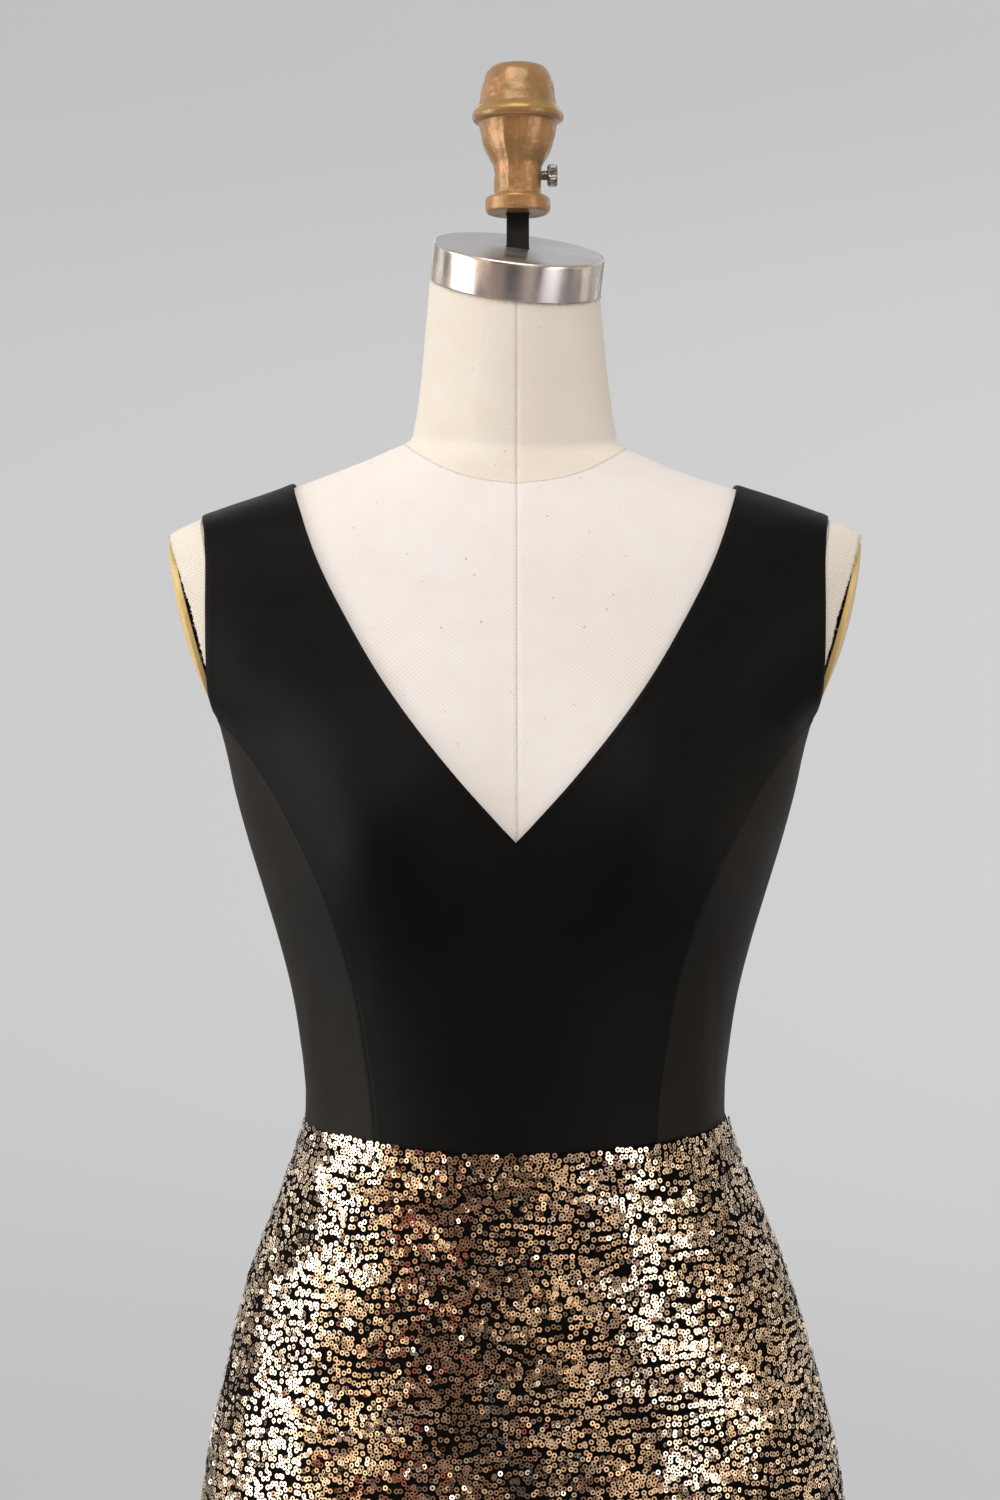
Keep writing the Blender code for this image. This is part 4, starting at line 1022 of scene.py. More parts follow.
screw = even_profile(rounded(SCREW_PROFILE, 3), SCREW_FINE)
screw = turned_grid(screw, SCREW_STEPS, screw_ripple)
screw = grid_mesh([placed(screw, screw_frame())])
add_piece("thumb_screw_knurled", screw, weathered_steel(), "screw", ["thumb_screw"], 60)

# ---------------------------------------------------------------------------------------------
# Bodice: seven panels of black satin-backed crepe, sewn edge to edge. The seams are pressed
# open, so each edge rolls in, and the neck and armhole edges are turned over a facing.

WALL = 1.2 * MM
EASE = 1.35 * MM
BUST_EASE = 2.2 * MM
ZIP_EASE = 1.8 * MM
ZIP_EASE_ANGLE = 14.0
WAIST_HEIGHT, WAIST_DIP = 1.055, 0.0081
V_POINT_HEIGHT = 1.2195
BACK_NECK_HEIGHT = 1.322
SIDE_SEAM_ANGLE = 92.0
STRAP_INNER, STRAP_OUTER = 0.1278, 0.1805
UNDERARM_HEIGHT = 1.280
RIDGE_POWER = 1.7
FRONT_PRINCESS = np.array([
    # height, angle deg
    (1.04, 39.7), (1.1, 42.5), (1.15, 44.0), (1.19, 46.5), (1.225, 52.0), (1.25, 58.0),
    (1.272, 68.0), (1.29, 80.0),
])
BACK_PRINCESS = np.array([
    # height, angle deg
    (1.04, 148.5), (1.1, 146.0), (1.15, 142.5), (1.2, 136.0), (1.25, 126.0), (1.285, 116.5),
    (1.305, 110.8),
])
FRONT_NECK = np.array([
    # height, distance from the centre line
    (1.2195, 0), (1.243, 0.023), (1.276, 0.0508), (1.309, 0.0742), (1.343, 0.0942),
    (1.3775, 0.1116), (1.403, 0.1212), (1.4226, STRAP_INNER),
])
BACK_NECK = np.array([
    # height, distance from the centre line
    (1.322, 0), (1.3221, 0.0049), (1.3224, 0.0098), (1.323, 0.0155), (1.324, 0.0219),
    (1.326, 0.031), (1.33, 0.0438), (1.338, 0.062), (1.348, 0.0762), (1.36, 0.089),
    (1.385, 0.1095), (1.41, 0.1225), (1.4226, STRAP_INNER),
])
FRONT_ARMHOLE = np.array([
    # height, distance from the centre line
    (1.29, 0.171), (1.3, 0.1738), (1.32, 0.1746), (1.35, 0.175), (1.385, 0.176), (1.396, 0.1775),
    (1.4042, STRAP_OUTER),
])
BACK_ARMHOLE = np.array([
    # height, distance from the centre line
    (1.305, 0.1728), (1.32, 0.1735), (1.35, 0.175), (1.385, 0.1785), (1.4042, STRAP_OUTER),
])
LOW_ROWS, HIGH_ROWS = 62, 48
FRONT_COLUMNS, SIDE_COLUMNS, BACK_COLUMNS = 46, 30, 38
FINE_RISE = (0.0015, 0.004, 0.008, 0.013)
FINE_SIDE = (0.006, 0.014, 0.026, 0.042)
FINE_EDGE = (0.0025, 0.006, 0.011, 0.018, 0.028, 0.042)
ROLL = 0.55 * MM
ROLL_REACH = 0.75 * MM
EDGE_FADE = 7.0 * MM
# Soft troughs and ridges of the bodice: where the middle is, which way it runs (0 is around the
# body, 90 is up), how long and wide it is each way from the middle, and how deep.
CREASES = (
    # angle deg, height, way deg, half length m, half width m, depth mm (minus for a trough)
    (-30, 1.19, 62, 0.05, 0.011, -0.35), (-36, 1.15, 78, 0.045, 0.01, 0.25),
    (-20, 1.11, 84, 0.04, 0.012, -0.2), (-58, 1.215, 20, 0.03, 0.006, -0.45),
    (-66, 1.12, 70, 0.045, 0.0065, 0.4), (-74, 1.08, 12, 0.03, 0.005, -0.5),
    (8, 1.175, 88, 0.045, 0.014, -0.2), (27, 1.2, 118, 0.04, 0.011, -0.3),
    (33, 1.14, 100, 0.05, 0.01, 0.25), (56, 1.205, 155, 0.026, 0.006, -0.45),
    (63, 1.115, 106, 0.04, 0.007, -0.35), (71, 1.075, 172, 0.028, 0.005, 0.45),
    (-43, 1.33, 60, 0.03, 0.008, -0.25), (47, 1.345, 115, 0.032, 0.008, -0.25),
    (112, 1.19, 76, 0.045, 0.008, -0.8), (126, 1.12, 96, 0.04, 0.0065, 0.6),
    (150, 1.23, 60, 0.038, 0.008, -0.7), (166, 1.1, 10, 0.035, 0.0055, -0.9),
    (-158, 1.09, 172, 0.04, 0.006, -0.8), (-148, 1.21, 118, 0.042, 0.008, -0.6),
    (-120, 1.15, 96, 0.05, 0.007, 0.7), (-104, 1.085, 12, 0.03, 0.0055, -0.7),
    (-132, 1.345, 70, 0.028, 0.0065, -0.5), (134, 1.355, 104, 0.03, 0.006, -0.5),
)
PANEL_MAP = 0.14
CREPE_BLACK = (0.0024, 0.0025, 0.0025)
# The side panels' black is lighter and warmer than the front's: painted sheen for the light on the
# sides.
SIDE_BLACK_PAINTED_SHEEN = (0.0060, 0.0052, 0.0044)


def bodice_point(angle, height):
    """A point of the inside of the bodice: the form, let out by the ease, by more at the bust,
    and by the room that the zip needs at the centre back."""
    point = body_point(angle, height)
    zip_room = ZIP_EASE * bell(np.abs(np.degrees(angle)) - 180, ZIP_EASE_ANGLE)
    room = EASE + zip_room + BUST_EASE * bust_share(angle, height, point[..., 0])
    return point + room[..., None] * outward(body_point, angle, height)


def waist_height(angle):
    """The waist seam dips at the centre front."""
    return WAIST_HEIGHT - WAIST_DIP * np.clip(np.cos(angle), 0, 1) ** 2


def ridge_height(from_centre):
    """The height of the shoulder ridge, where the rings narrow to from_centre."""
    widest, top = BODY[BODY[:, 1].argmax(), 0], BODY[-1, 0]
    return halved(widest, top, lambda height: smooth_value(BODY, height) <= from_centre)


def up_to_ridge(start, from_centre):
    """Heights from start to the ridge, closer together as the cloth turns over the shoulder."""
    top, left = ridge_height(from_centre), 1 - np.linspace(0, 1, HIGH_ROWS + 1)[1:]
    return top - (top - start) * left**RIDGE_POWER


def seam_line(rows, heights):
    """Angles of a seam, in radians, at the heights."""
    return np.radians(smooth_value(rows, heights))


def strap_edge(rows, heights):
    """Angles of a neck or armhole edge, in front, at the heights."""
    return np.arcsin(np.clip(smooth_value(rows, heights) / smooth_value(BODY, heights), 0, 1))


def edge_shares(count, fine):
    """Shares from 0 to 1 across or up a panel, with extra ones near both edges."""
    near = np.array(fine)
    return np.unique(np.concatenate([np.linspace(0, 1, count + 1), near, 1 - near]))


def between(first, second, share):
    """Values that run evenly from the first to the second."""
    return first * (1 - share) + second * share


def across_panel(first, second, share):
    """Rows of values, each running from the first edge's value to the second's."""
    return between(first[:, None], second[:, None], share)


def crease_push(angle, height, point):
    """How far the creases lift the cloth: each is a bell along its way and a bell across it."""
    push = np.zeros_like(height)
    girth = np.hypot(point[..., 0], point[..., 1])
    for at, up, way, long, wide, depth in CREASES:
        around = degrees_from(at, angle) * math.pi / 180 * girth
        over, turn = height - up, math.radians(way)
        along = around * math.cos(turn) + over * math.sin(turn)
        across = over * math.cos(turn) - around * math.sin(turn)
        push = push + depth * MM * bell(along, long) * bell(across, wide)
    return push


def edge_distances(points):
    """Each point's distance to the four edges of its grid, measured along its row and column."""
    over = np.linalg.norm(np.diff(points, axis=1), axis=-1)
    up = np.linalg.norm(np.diff(points, axis=0), axis=-1)
    first = np.pad(np.cumsum(over, axis=1), ((0, 0), (1, 0)))
    bottom = np.pad(np.cumsum(up, axis=0), ((1, 0), (0, 0)))
    last, top = first[:, -1:] - first, bottom[-1:] - bottom
    return {"first": first, "last": last, "bottom": bottom, "top": top}


def panel_grid(angle, height, edges, side):
    """One cloth panel: the bodice's surface with its creases, rolled in at its sewn edges, and
    a little proud over the turned edges. Edges says "sewn" or "turned" for each side. At a top or
    bottom that it doesn't name, where the panel goes on in another grid, the edges fade out."""
    angle = angle * side
    points = bodice_point(angle, height)
    far, push = edge_distances(points), np.zeros_like(height)
    for name, kind in edges.items():
        if kind == "sewn":
            push += 0.14 * MM * bell(far[name] - 2.6 * MM, 1.5 * MM)
            push -= ROLL * bell(far[name], ROLL_REACH)
        else:
            push += 0.22 * MM * bell(far[name] - 3.0 * MM, 2.6 * MM)
            push -= 0.18 * MM * bell(far[name], 0.7 * MM)
    for name in {"bottom", "top"} - edges.keys():
        push *= 1 - bell(far[name], EDGE_FADE)
    push += crease_push(angle, height, points)
    points = points + outward(bodice_point, angle, height) * push[..., None]
    grid = {"at": points, "uv": np.stack([angle * PANEL_MAP, height], -1)}
    return grid if side > 0 else {key: value[:, ::-1] for key, value in grid.items()}


def crepe(name, black, gloss, rough):
    """Black crepe: a fine pebbled grain over a slanting rib, with a soft broad sheen."""
    look = material(name, black, rough, Specular_IOR_Level=gloss)
    cloth, where = on_map(look), on_object(look)
    pebble = noise(look, cloth, 2300, 3, 0.6)
    across, up, _ = parts(look, cloth)
    rib = wave(look, maths(look, "ADD", across, up), 0.7 * MM)
    dark, pale = np.array(black) * 0.7, np.array(black) * 1.35
    return shade(
        look,
        Base_Color=layers(look, dark, (ramp(look, pebble, 0.3, 0.7), pale)),
        Roughness=ramp(look, noise(look, where, 24, 4), 0.3, 0.7, rough - 0.04, rough + 0.04),
        Normal=raised(look, times(look, rib, 0.25, pebble), 0.00006),
    )


def add_panel(name, grids, look, node_name):
    """A panel of cloth: its grids joined and given the cloth's wall on the outside."""
    piece = add_piece(name, grid_mesh(grids, 2e-6), look, stands_for=[node_name])
    add_wall(piece, WALL)
    return piece


def add_crepe(part, grids, look):
    """A panel of the bodice."""
    panel = add_panel(f"crepe_{part}", grids, look, f"bodice_{part}")


def strap_grids(angles, heights, low_edges, side):
    """A panel that goes on into a strap: the part up to the neck and armhole, and the strap."""
    join = len(angles) - HIGH_ROWS
    high_edges = {"first": "turned", "last": "turned", "top": "sewn"}
    for rows, edges in ((slice(join + 1), low_edges), (slice(join, None), high_edges)):
        yield panel_grid(angles[rows], heights[rows], edges, side)


black_crepe = crepe("black_crepe", CREPE_BLACK, 0.085, 0.44)
# The side panels use a lighter, warmer copy of the crepe as painted sheen.
side_crepe_painted_sheen = crepe("black_crepe_side_painted_sheen", SIDE_BLACK_PAINTED_SHEEN, 0.15, 0.56)
rise = edge_shares(LOW_ROWS, FINE_RISE)

low_in = between(waist_height(np.zeros(1)), V_POINT_HEIGHT, rise)
seam_foot = waist_height(np.radians(FRONT_PRINCESS[:1, 1]))
low_out = between(seam_foot, FRONT_PRINCESS[-1, 0], rise)
high_in = up_to_ridge(V_POINT_HEIGHT, STRAP_INNER)
high_out = up_to_ridge(FRONT_PRINCESS[-1, 0], STRAP_OUTER)
inner = np.append(np.zeros(len(rise)), strap_edge(FRONT_NECK, high_in))
outer = np.append(seam_line(FRONT_PRINCESS, low_out), strap_edge(FRONT_ARMHOLE, high_out))
across = edge_shares(FRONT_COLUMNS, FINE_EDGE)
angles = across_panel(inner, outer, across)
heights = across_panel(np.append(low_in, high_in), np.append(low_out, high_out), across)
heights[0] = waist_height(angles[0])
low_edges = {"bottom": "sewn", "last": "sewn"}
halves = [grid for side, _ in HANDS for grid in strap_grids(angles, heights, low_edges, side)]
add_crepe("centre_front", halves, black_crepe)

side_rise = edge_shares(LOW_ROWS, (*FINE_RISE, 0.02))
side_line = np.full(len(side_rise), math.radians(SIDE_SEAM_ANGLE))
side_high = between(WAIST_HEIGHT, UNDERARM_HEIGHT, side_rise)
across = edge_shares(SIDE_COLUMNS, FINE_SIDE)
for part, seam in (("side_front", FRONT_PRINCESS), ("side_back", BACK_PRINCESS)):
    foot = waist_height(np.radians(seam[:1, 1]))
    high = between(foot, seam[-1, 0], side_rise)
    # The front panel starts at its princess seam, and the back one at the side seam.
    from_side = across if part == "side_back" else 1 - across
    angles = across_panel(side_line, seam_line(seam, high), from_side)
    heights = across_panel(side_high, high, from_side)
    heights[0] = waist_height(angles[0])
    # The underarm is a curve that lies level at the side seam, not a point.
    sag = (seam[-1, 0] - UNDERARM_HEIGHT) * (from_side - from_side**2)
    heights -= sag * side_rise[:, None] ** 3
    edges = {"bottom": "sewn", "first": "sewn", "last": "sewn", "top": "turned"}
    for side, hand in HANDS:
        grid = panel_grid(angles, heights, edges, side)
        add_crepe(f"{part}_{hand}", [grid], side_crepe_painted_sheen)

low_seam = between(WAIST_HEIGHT, BACK_PRINCESS[-1, 0], rise)
low_zip = between(WAIST_HEIGHT, BACK_NECK_HEIGHT, rise)
high_arm = up_to_ridge(BACK_PRINCESS[-1, 0], STRAP_OUTER)
up = np.linspace(0, 1, HIGH_ROWS + 1)[1:]
back_top = ridge_height(STRAP_INNER)
high_neck = BACK_NECK_HEIGHT + (back_top - BACK_NECK_HEIGHT) * up**2 * (3 - 2 * up)
arm_line = math.pi - strap_edge(BACK_ARMHOLE, high_arm)
neck_line = math.pi - strap_edge(BACK_NECK, high_neck)
first = np.append(seam_line(BACK_PRINCESS, low_seam), arm_line)
last = np.append(np.full(len(rise), math.pi), neck_line)
across = edge_shares(BACK_COLUMNS, FINE_EDGE)
angles = across_panel(first, last, across)
heights = across_panel(np.append(low_seam, high_arm), np.append(low_zip, high_neck), across)
low_edges = {"bottom": "sewn", "first": "sewn", "last": "sewn"}
for side, hand in HANDS:
    grids = list(strap_grids(angles, heights, low_edges, side))
    add_crepe(f"back_{hand}", grids, black_crepe)

# ---------------------------------------------------------------------------------------------
# Zip: an invisible zip down the centre back. Its woven tape lies behind the seam; the enamelled
# slider stands in the notch at the neck, with a drop shaped pull.


def enamel():
    """Black enamel on a small die casting: glossy, with a fine orange peel and rubbed corners."""
    coat = {"Coat_Weight": 0.5, "Coat_Roughness": 0.12}
    look = material("black_zip_enamel", (0.015, 0.015, 0.016), 0.25, **coat)
    where = on_object(look)
    rub = ramp(look, noise(look, where, 700, 3), 0.62, 0.75, 0.0, 0.4)
    colour = layers(look, (0.014, 0.014, 0.015), (rub, (0.09, 0.085, 0.08)))
    return shade(look, Base_Color=colour, Normal=raised(look, noise(look, where, 1800, 2), 0.00002))


def zip_cloth():
    """Black woven tape: fine cross ribs."""
    look = material("zip_tape_weave", (0.012, 0.012, 0.013), 0.85)
    ribs = wave(look, parts(look, on_object(look))[2], 0.6 * MM)
    tone = ramp(look, ribs, -1.0, 1.0)
    colour = layers(look, (0.007, 0.007, 0.008), (tone, (0.02, 0.019, 0.019)))
    return shade(look, Base_Color=colour, Normal=raised(look, ribs, 0.00005))


zip_enamel = enamel()
for name in ("zip_slider", "zip_pull"):
    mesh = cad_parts[name].data
    mesh.materials.clear()
    mesh.materials.append(zip_enamel)
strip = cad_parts["zip_tape"].data.copy()
weld(strip)
zip_strip = add_piece("zip_tape_woven", strip, zip_cloth(), stands_for=["zip_tape"])

# ---------------------------------------------------------------------------------------------
# Skirt: a front panel and two back panels of black stretch mesh, the ground that the sequins
# are sewn to, with a narrow turned hem. They hang from the waist seam in soft folds.

SKIRT = np.array([
    # height, half width, front depth, back depth, fold share, centre x
    (0.022, 0.245, 0.193, 0.1918, 1, 0), (0.2, 0.235, 0.176, 0.179, 0.86, 0.0008),
    (0.4, 0.2235, 0.157, 0.163, 0.64, 0.0022), (0.6, 0.21, 0.137, 0.146, 0.36, 0.0036),
    (0.75, 0.1965, 0.119, 0.131, 0.12, 0.0044), (0.838, 0.1845, 0.1105, 0.1235, 0.03, 0.0046),
    (0.873, 0.1793, 0.1075, 0.1205, 0, 0.0043), (0.908, 0.1708, 0.1055, 0.117, 0, 0.0037),
    (0.943, 0.162, 0.1035, 0.111, 0, 0.0026), (0.978, 0.1511, 0.101, 0.1035, 0, 0.002),
    (1.013, 0.1372, 0.098, 0.0945, 0, 0.0015), (1.035, 0.1285, 0.0955, 0.0885, 0, 0.0011),
    (1.065, 0.1195, 0.093, 0.0825, 0, 0.0008),
])
FOLDS = (
    # angle deg, depth, half width deg
    (-152, 0.017, 9), (-123, 0.014, 10), (-90, 0.013, 9), (-63, 0.016, 9), (-39, 0.013, 8),
    (-13, 0.017, 10), (18, 0.012, 9), (45, 0.017, 9), (68, 0.012, 8), (90, 0.013, 8),
    (118, 0.017, 10), (149, 0.014, 9), (180, 0.013, 10),
)
HEM_HEIGHT = 0.022
SKIRT_ROWS, SKIRT_STEP = 84, 2.0
SKIRT_MAP = 0.17
MESH_BLACK = (0.008, 0.0075, 0.0075)
SKIRT_PANELS = {
    # start deg, end deg, flat width, flat area
    "front": (-SIDE_SEAM_ANGLE, SIDE_SEAM_ANGLE, 0.80, 0.61),
    "back_right": (SIDE_SEAM_ANGLE, 180.0, 0.40, 0.30),
    "back_left": (-180.0, -SIDE_SEAM_ANGLE, 0.40, 0.30),
}


def skirt_point(angle, height):
    """A point of the inside of the skirt: an ellipse, pushed out where a fold falls. The skirt
    hangs a little to the right of the middle."""
    half_width, front, back, share, centre = np.moveaxis(smooth_columns(SKIRT, height), -1, 0)
    push = np.zeros_like(half_width)
    for at, depth, half in FOLDS:
        push = push + depth * bell(degrees_from(at, angle), half)
    push = push * np.clip(share, 0, 1)
    x, y = ring_point(angle, half_width, front, back)
    reach = np.hypot(x, y)
    return np.stack([centre + x + push * x / reach, y + push * y / reach, height], axis=-1)


def skirt_grid(start, end):
    """A skirt panel between two angles, rolled in at its waist seam and rounded at its hem."""
    line = np.radians(np.linspace(start, end, round((end - start) / SKIRT_STEP) + 1))
    share = edge_shares(SKIRT_ROWS, (0.002, 0.005, 0.009))[::-1, None]
    height = between(waist_height(line), HEM_HEIGHT, share)
    angle = np.broadcast_to(line, height.shape)
    points, normal = skirt_point(angle, height), outward(skirt_point, angle, height)
    far = edge_distances(points)
    push = -ROLL * bell(far["top"], 2 * MM) + 0.5 * MM * bell(far["bottom"] - 5 * MM, 6 * MM)
    uv = np.stack([angle * SKIRT_MAP, height], -1)
    return {"at": points + normal * push[..., None], "uv": uv}


def ground_mesh():
    """Black stretch mesh: small holes in a honeycomb of matt yarn."""
    look = material("black_mesh_ground", MESH_BLACK, 0.9, Specular_IOR_Level=0.1)
    into = {"Vector": on_map(look), "Scale": 900.0}
    cells = node(look, "TexVoronoi", into).outputs["Distance"]
    tone = ramp(look, cells, 0.1, 0.6)
    colour = layers(look, (0.003, 0.0024, 0.002), (tone, (0.001, 0.0009, 0.0008)))
    return shade(look, Base_Color=colour, Normal=raised(look, cells, -0.0002))


ground, skirt_pieces = ground_mesh(), {}
for part, (start, end, *_) in SKIRT_PANELS.items():
    grids = [skirt_grid(start, end)]
    skirt_pieces[part] = add_panel(
        f"mesh_skirt_{part}", grids, ground, f"skirt_{part}"
    )

# ---------------------------------------------------------------------------------------------
# Sequins: flat gold rings, punched from metallised film and chain stitched to the mesh through
# their holes. The chains wander, crowd and part, and each run of sequins leans its own way.

SEQUIN_RADIUS, HOLE_RADIUS = 1.55 * MM, 0.70 * MM
ROW_PITCH, RUN_PITCH = 3.15 * MM, 3.12 * MM
PAIR_PULL = 0.38 * MM
SEQUIN_LIFT, LIFT_SPREAD = 0.45 * MM, 0.45 * MM
RUN_STRAY, HEIGHT_STRAY = 0.44 * MM, 0.48 * MM
MISSING = 0.06
BARE = -0.90
CALM_TOP = 14.0 * MM
DIP_REACH = 80.0 * MM
ZIP_CLEAR_ANGLE, ZIP_CLEAR_HEIGHT = 179.0, 0.86
TONE_SPREAD = (2.2, 1.8)
SEQUIN_SEED = 4711
LEAN_PATCH, LEAN_RUN, LEAN_EACH = 0.14, 0.11, 0.05
LOOSE_SHARE, LOOSE_LEAN = 0.14, 0.26
SEQUIN_SHARES = (
    # panel, zone, lowest height, highest height, corners, with a real hole
    ("front", "hip", 0.815, 2.0, 8, True),
    ("front", "knee", 0.42, 0.815, 6, False),
    ("front", "hem", 0.0, 0.42, 5, False),
    ("back_right", "hip", 0.42, 2.0, 6, False),
    ("back_right", "hem", 0.0, 0.42, 5, False),
    ("back_left", "hip", 0.42, 2.0, 6, False),
    ("back_left", "hem", 0.0, 0.42, 5, False),
)


def surface_rows():
    """Heights of the sequin rows, a row pitch apart along the skirt's slope in front."""
    height = np.linspace(WAIST_HEIGHT - 0.6 * MM, HEM_HEIGHT + 1.6 * MM, 1200)
    along = distances(skirt_point(np.zeros_like(height), height))
    return np.interp(np.arange(0, along[-1], ROW_PITCH), along, height)


def sequin_places(rng):
    """Angle, height, run distance and row of each sequin. Along each row they stand a run pitch
    apart round the skirt. Rows draw together in pairs, and smooth waves of three sizes lift, drop
    and shift them, less so next to the waist seam that the first rows follow. Some are missing."""
    turn = np.radians(np.linspace(-180, 180, 721))
    waves, shifts, gaps = random_grid(51), random_grid(52), random_grid(53)
    found = []
    for row, level in enumerate(surface_rows()):
        around = distances(skirt_point(turn, np.full(len(turn), level)))
        around -= np.interp(0, turn, around)
        run = np.arange(around[0] + RUN_PITCH / 2, around[-1] - RUN_PITCH / 2, RUN_PITCH)
        run = run + rng.uniform(0, RUN_PITCH) + rng.normal(0, RUN_STRAY, len(run))
        down = np.full(len(run), row * ROW_PITCH)

        def waved(table, long, tall, over=0, under=0):
            """Noise with features of a length along the rows and a height across them, in mm."""
            return soft_noise(run / (long * MM) + over, down / (tall * MM) + under, table)

        lift = 2.1 * waved(waves, 5.6, 5.2) + 2.8 * waved(waves, 18, 12, 90, 90)
        lift = (lift + 4.5 * waved(waves, 44, 34, 30, 30)) * MM
        pull = 0.6 + 0.6 * waved(shifts, 15, 9, 50, 20)
        lift += PAIR_PULL * pull * (1 if row % 2 else -1)
        keep = (waved(gaps, 10, 3.3) > BARE) & (rng.uniform(0, 1, len(run)) > MISSING)
        angle = np.interp(run + 1.4 * MM * waved(shifts, 5.5, 4.6), around, turn)
        near_waist = max(0, 1 - (WAIST_HEIGHT - level) / DIP_REACH)
        height = level + (waist_height(angle) - WAIST_HEIGHT) * near_waist
        calm = 1 - 0.75 * bell(row * ROW_PITCH, CALM_TOP)
        height = height + calm * lift + rng.normal(0, HEIGHT_STRAY, len(run))
        found.append(np.stack([angle, height, run, np.full(len(run), row)], -1)[keep])
    return np.concatenate(found)


def sequin_frames(places, rng):
    """Centre and leaning axes of each sequin. The lean is smooth over a patch, smooth over a few
    sequins of one row, and a little of it is each sequin's own. Some are loose and lean more."""
    angle, height, run, row = places.T
    point, normal = skirt_point(angle, height), outward(skirt_point, angle, height)
    step = 1e-4
    around = unit(skirt_point(angle + step, height) - skirt_point(angle - step, height))
    upward = np.cross(normal, around)
    down = row * ROW_PITCH
    patch, runs = random_grid(61), random_grid(62)
    loose = np.where(rng.uniform(0, 1, len(run)) < LOOSE_SHARE, LOOSE_LEAN, LEAN_EACH)
    lean = []
    for shift in (0, 90):
        wide = soft_noise(run / (17 * MM) + shift, down / (15 * MM) + shift, patch)
        close = soft_noise(run / (9 * MM) + shift, row + 0.5 + shift, runs)
        lean.append(LEAN_PATCH * wide + LEAN_RUN * close + rng.normal(0, 1, len(run)) * loose)
    axis = unit(normal + around * lean[0][:, None] + upward * (0.8 * lean[1])[:, None])
    first = unit(np.cross(upward, axis))
    lift = WALL + SEQUIN_LIFT + rng.uniform(0, LIFT_SPREAD, len(run))
    return point + normal * lift[:, None], first, np.cross(axis, first)


def ring_mesh(centre, first, second, tone, corners, hole):
    """Flat rings or discs: corners points round each rim, at the radius times the cosine and
    sine of even angles on the sequin's own axes, and as many round the hole."""
    turn = (np.arange(corners) + 0.5) * 2 * math.pi / corners
    rim = np.stack([np.cos(turn), np.sin(turn)], -1)
    flat = np.concatenate([rim * radius for radius in (SEQUIN_RADIUS, HOLE_RADIUS)[:1 + hole]])
    points = centre[:, None] + first[:, None] * flat[:, :1] + second[:, None] * flat[:, 1:]
    at = np.arange(corners)
    after = (at + 1) % corners
    faces = np.stack([at, after, after + corners, at + corners], -1) if hole else at[None, :]
    every = np.arange(len(centre))[:, None, None] * len(flat) + faces
    uv = np.tile(flat / SEQUIN_RADIUS * 0.5 + 0.5, (len(centre), 1))
    every = every.reshape(-1, faces.shape[1])
    return filled_mesh(points.reshape(-1, 3), every, uv, tone=np.repeat(tone, len(flat)))


def sequin_film():
    """Metallised film: gold to bronze by the sequin, orange at the cut rim, dark at the hole."""
    look = material("gold_sequin_film", (0.95, 0.66, 0.44), 0.2, 1.0)
    tone = value_of(look, "tone")
    across, up, _ = [maths(look, "SUBTRACT", part, 0.5) for part in parts(look, on_map(look))]
    square = times(look, across, across, times(look, up, up))
    out = times(look, maths(look, "SQRT", square), 2.0)
    rim = times(look, ramp(look, out, 0.78, 0.97), 0.75)
    colour = layers(
        look, (0.88, 0.73, 0.55),
        (tone, (1.0, 0.91, 0.76)),
        (rim, (0.20, 0.09, 0.035)),
        (ramp(look, out, 0.41, 0.47, 1.0, 0.0), (0.004, 0.004, 0.004)),
    )
    return shade(look, Base_Color=colour, Roughness=ramp(look, tone, 0.0, 1.0, 0.22, 0.12))


rng = np.random.default_rng(SEQUIN_SEED)
places = sequin_places(rng)
angle, height = places[:, 0], places[:, 1]
over_zip = (np.abs(np.degrees(angle)) > ZIP_CLEAR_ANGLE) & (height > ZIP_CLEAR_HEIGHT)
on_cloth = (height < waist_height(angle) + 1.7 * MM) & (height > HEM_HEIGHT + 1.5 * MM)
places = places[on_cloth & ~over_zip]
degrees, height = np.degrees(places[:, 0]), places[:, 1]
sequins = [*sequin_frames(places, rng), rng.beta(*TONE_SPREAD, len(places))]
film = sequin_film()
sewn_on = {part: [] for part in SKIRT_PANELS}
for part, zone, low, high, corners, hole in SEQUIN_SHARES:
    start, end, *_ = SKIRT_PANELS[part]
    chosen = (degrees > start) & (degrees <= end) & (height > low) & (height <= high)
    rings = ring_mesh(*[values[chosen] for values in sequins], corners, hole)
    rings = add_piece(f"sequins_{part}_{zone}", rings, film, sharp=180)
    sewn_on[part].append(rings)
for part, (_, _, wide, area) in SKIRT_PANELS.items():
    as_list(sewn_on[part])

# ---------------------------------------------------------------------------------------------
# Studio: a pale floor and a plain grey surround, a large soft box hard on the left, a smaller
# one on the right, and a broad soft light above the camera.

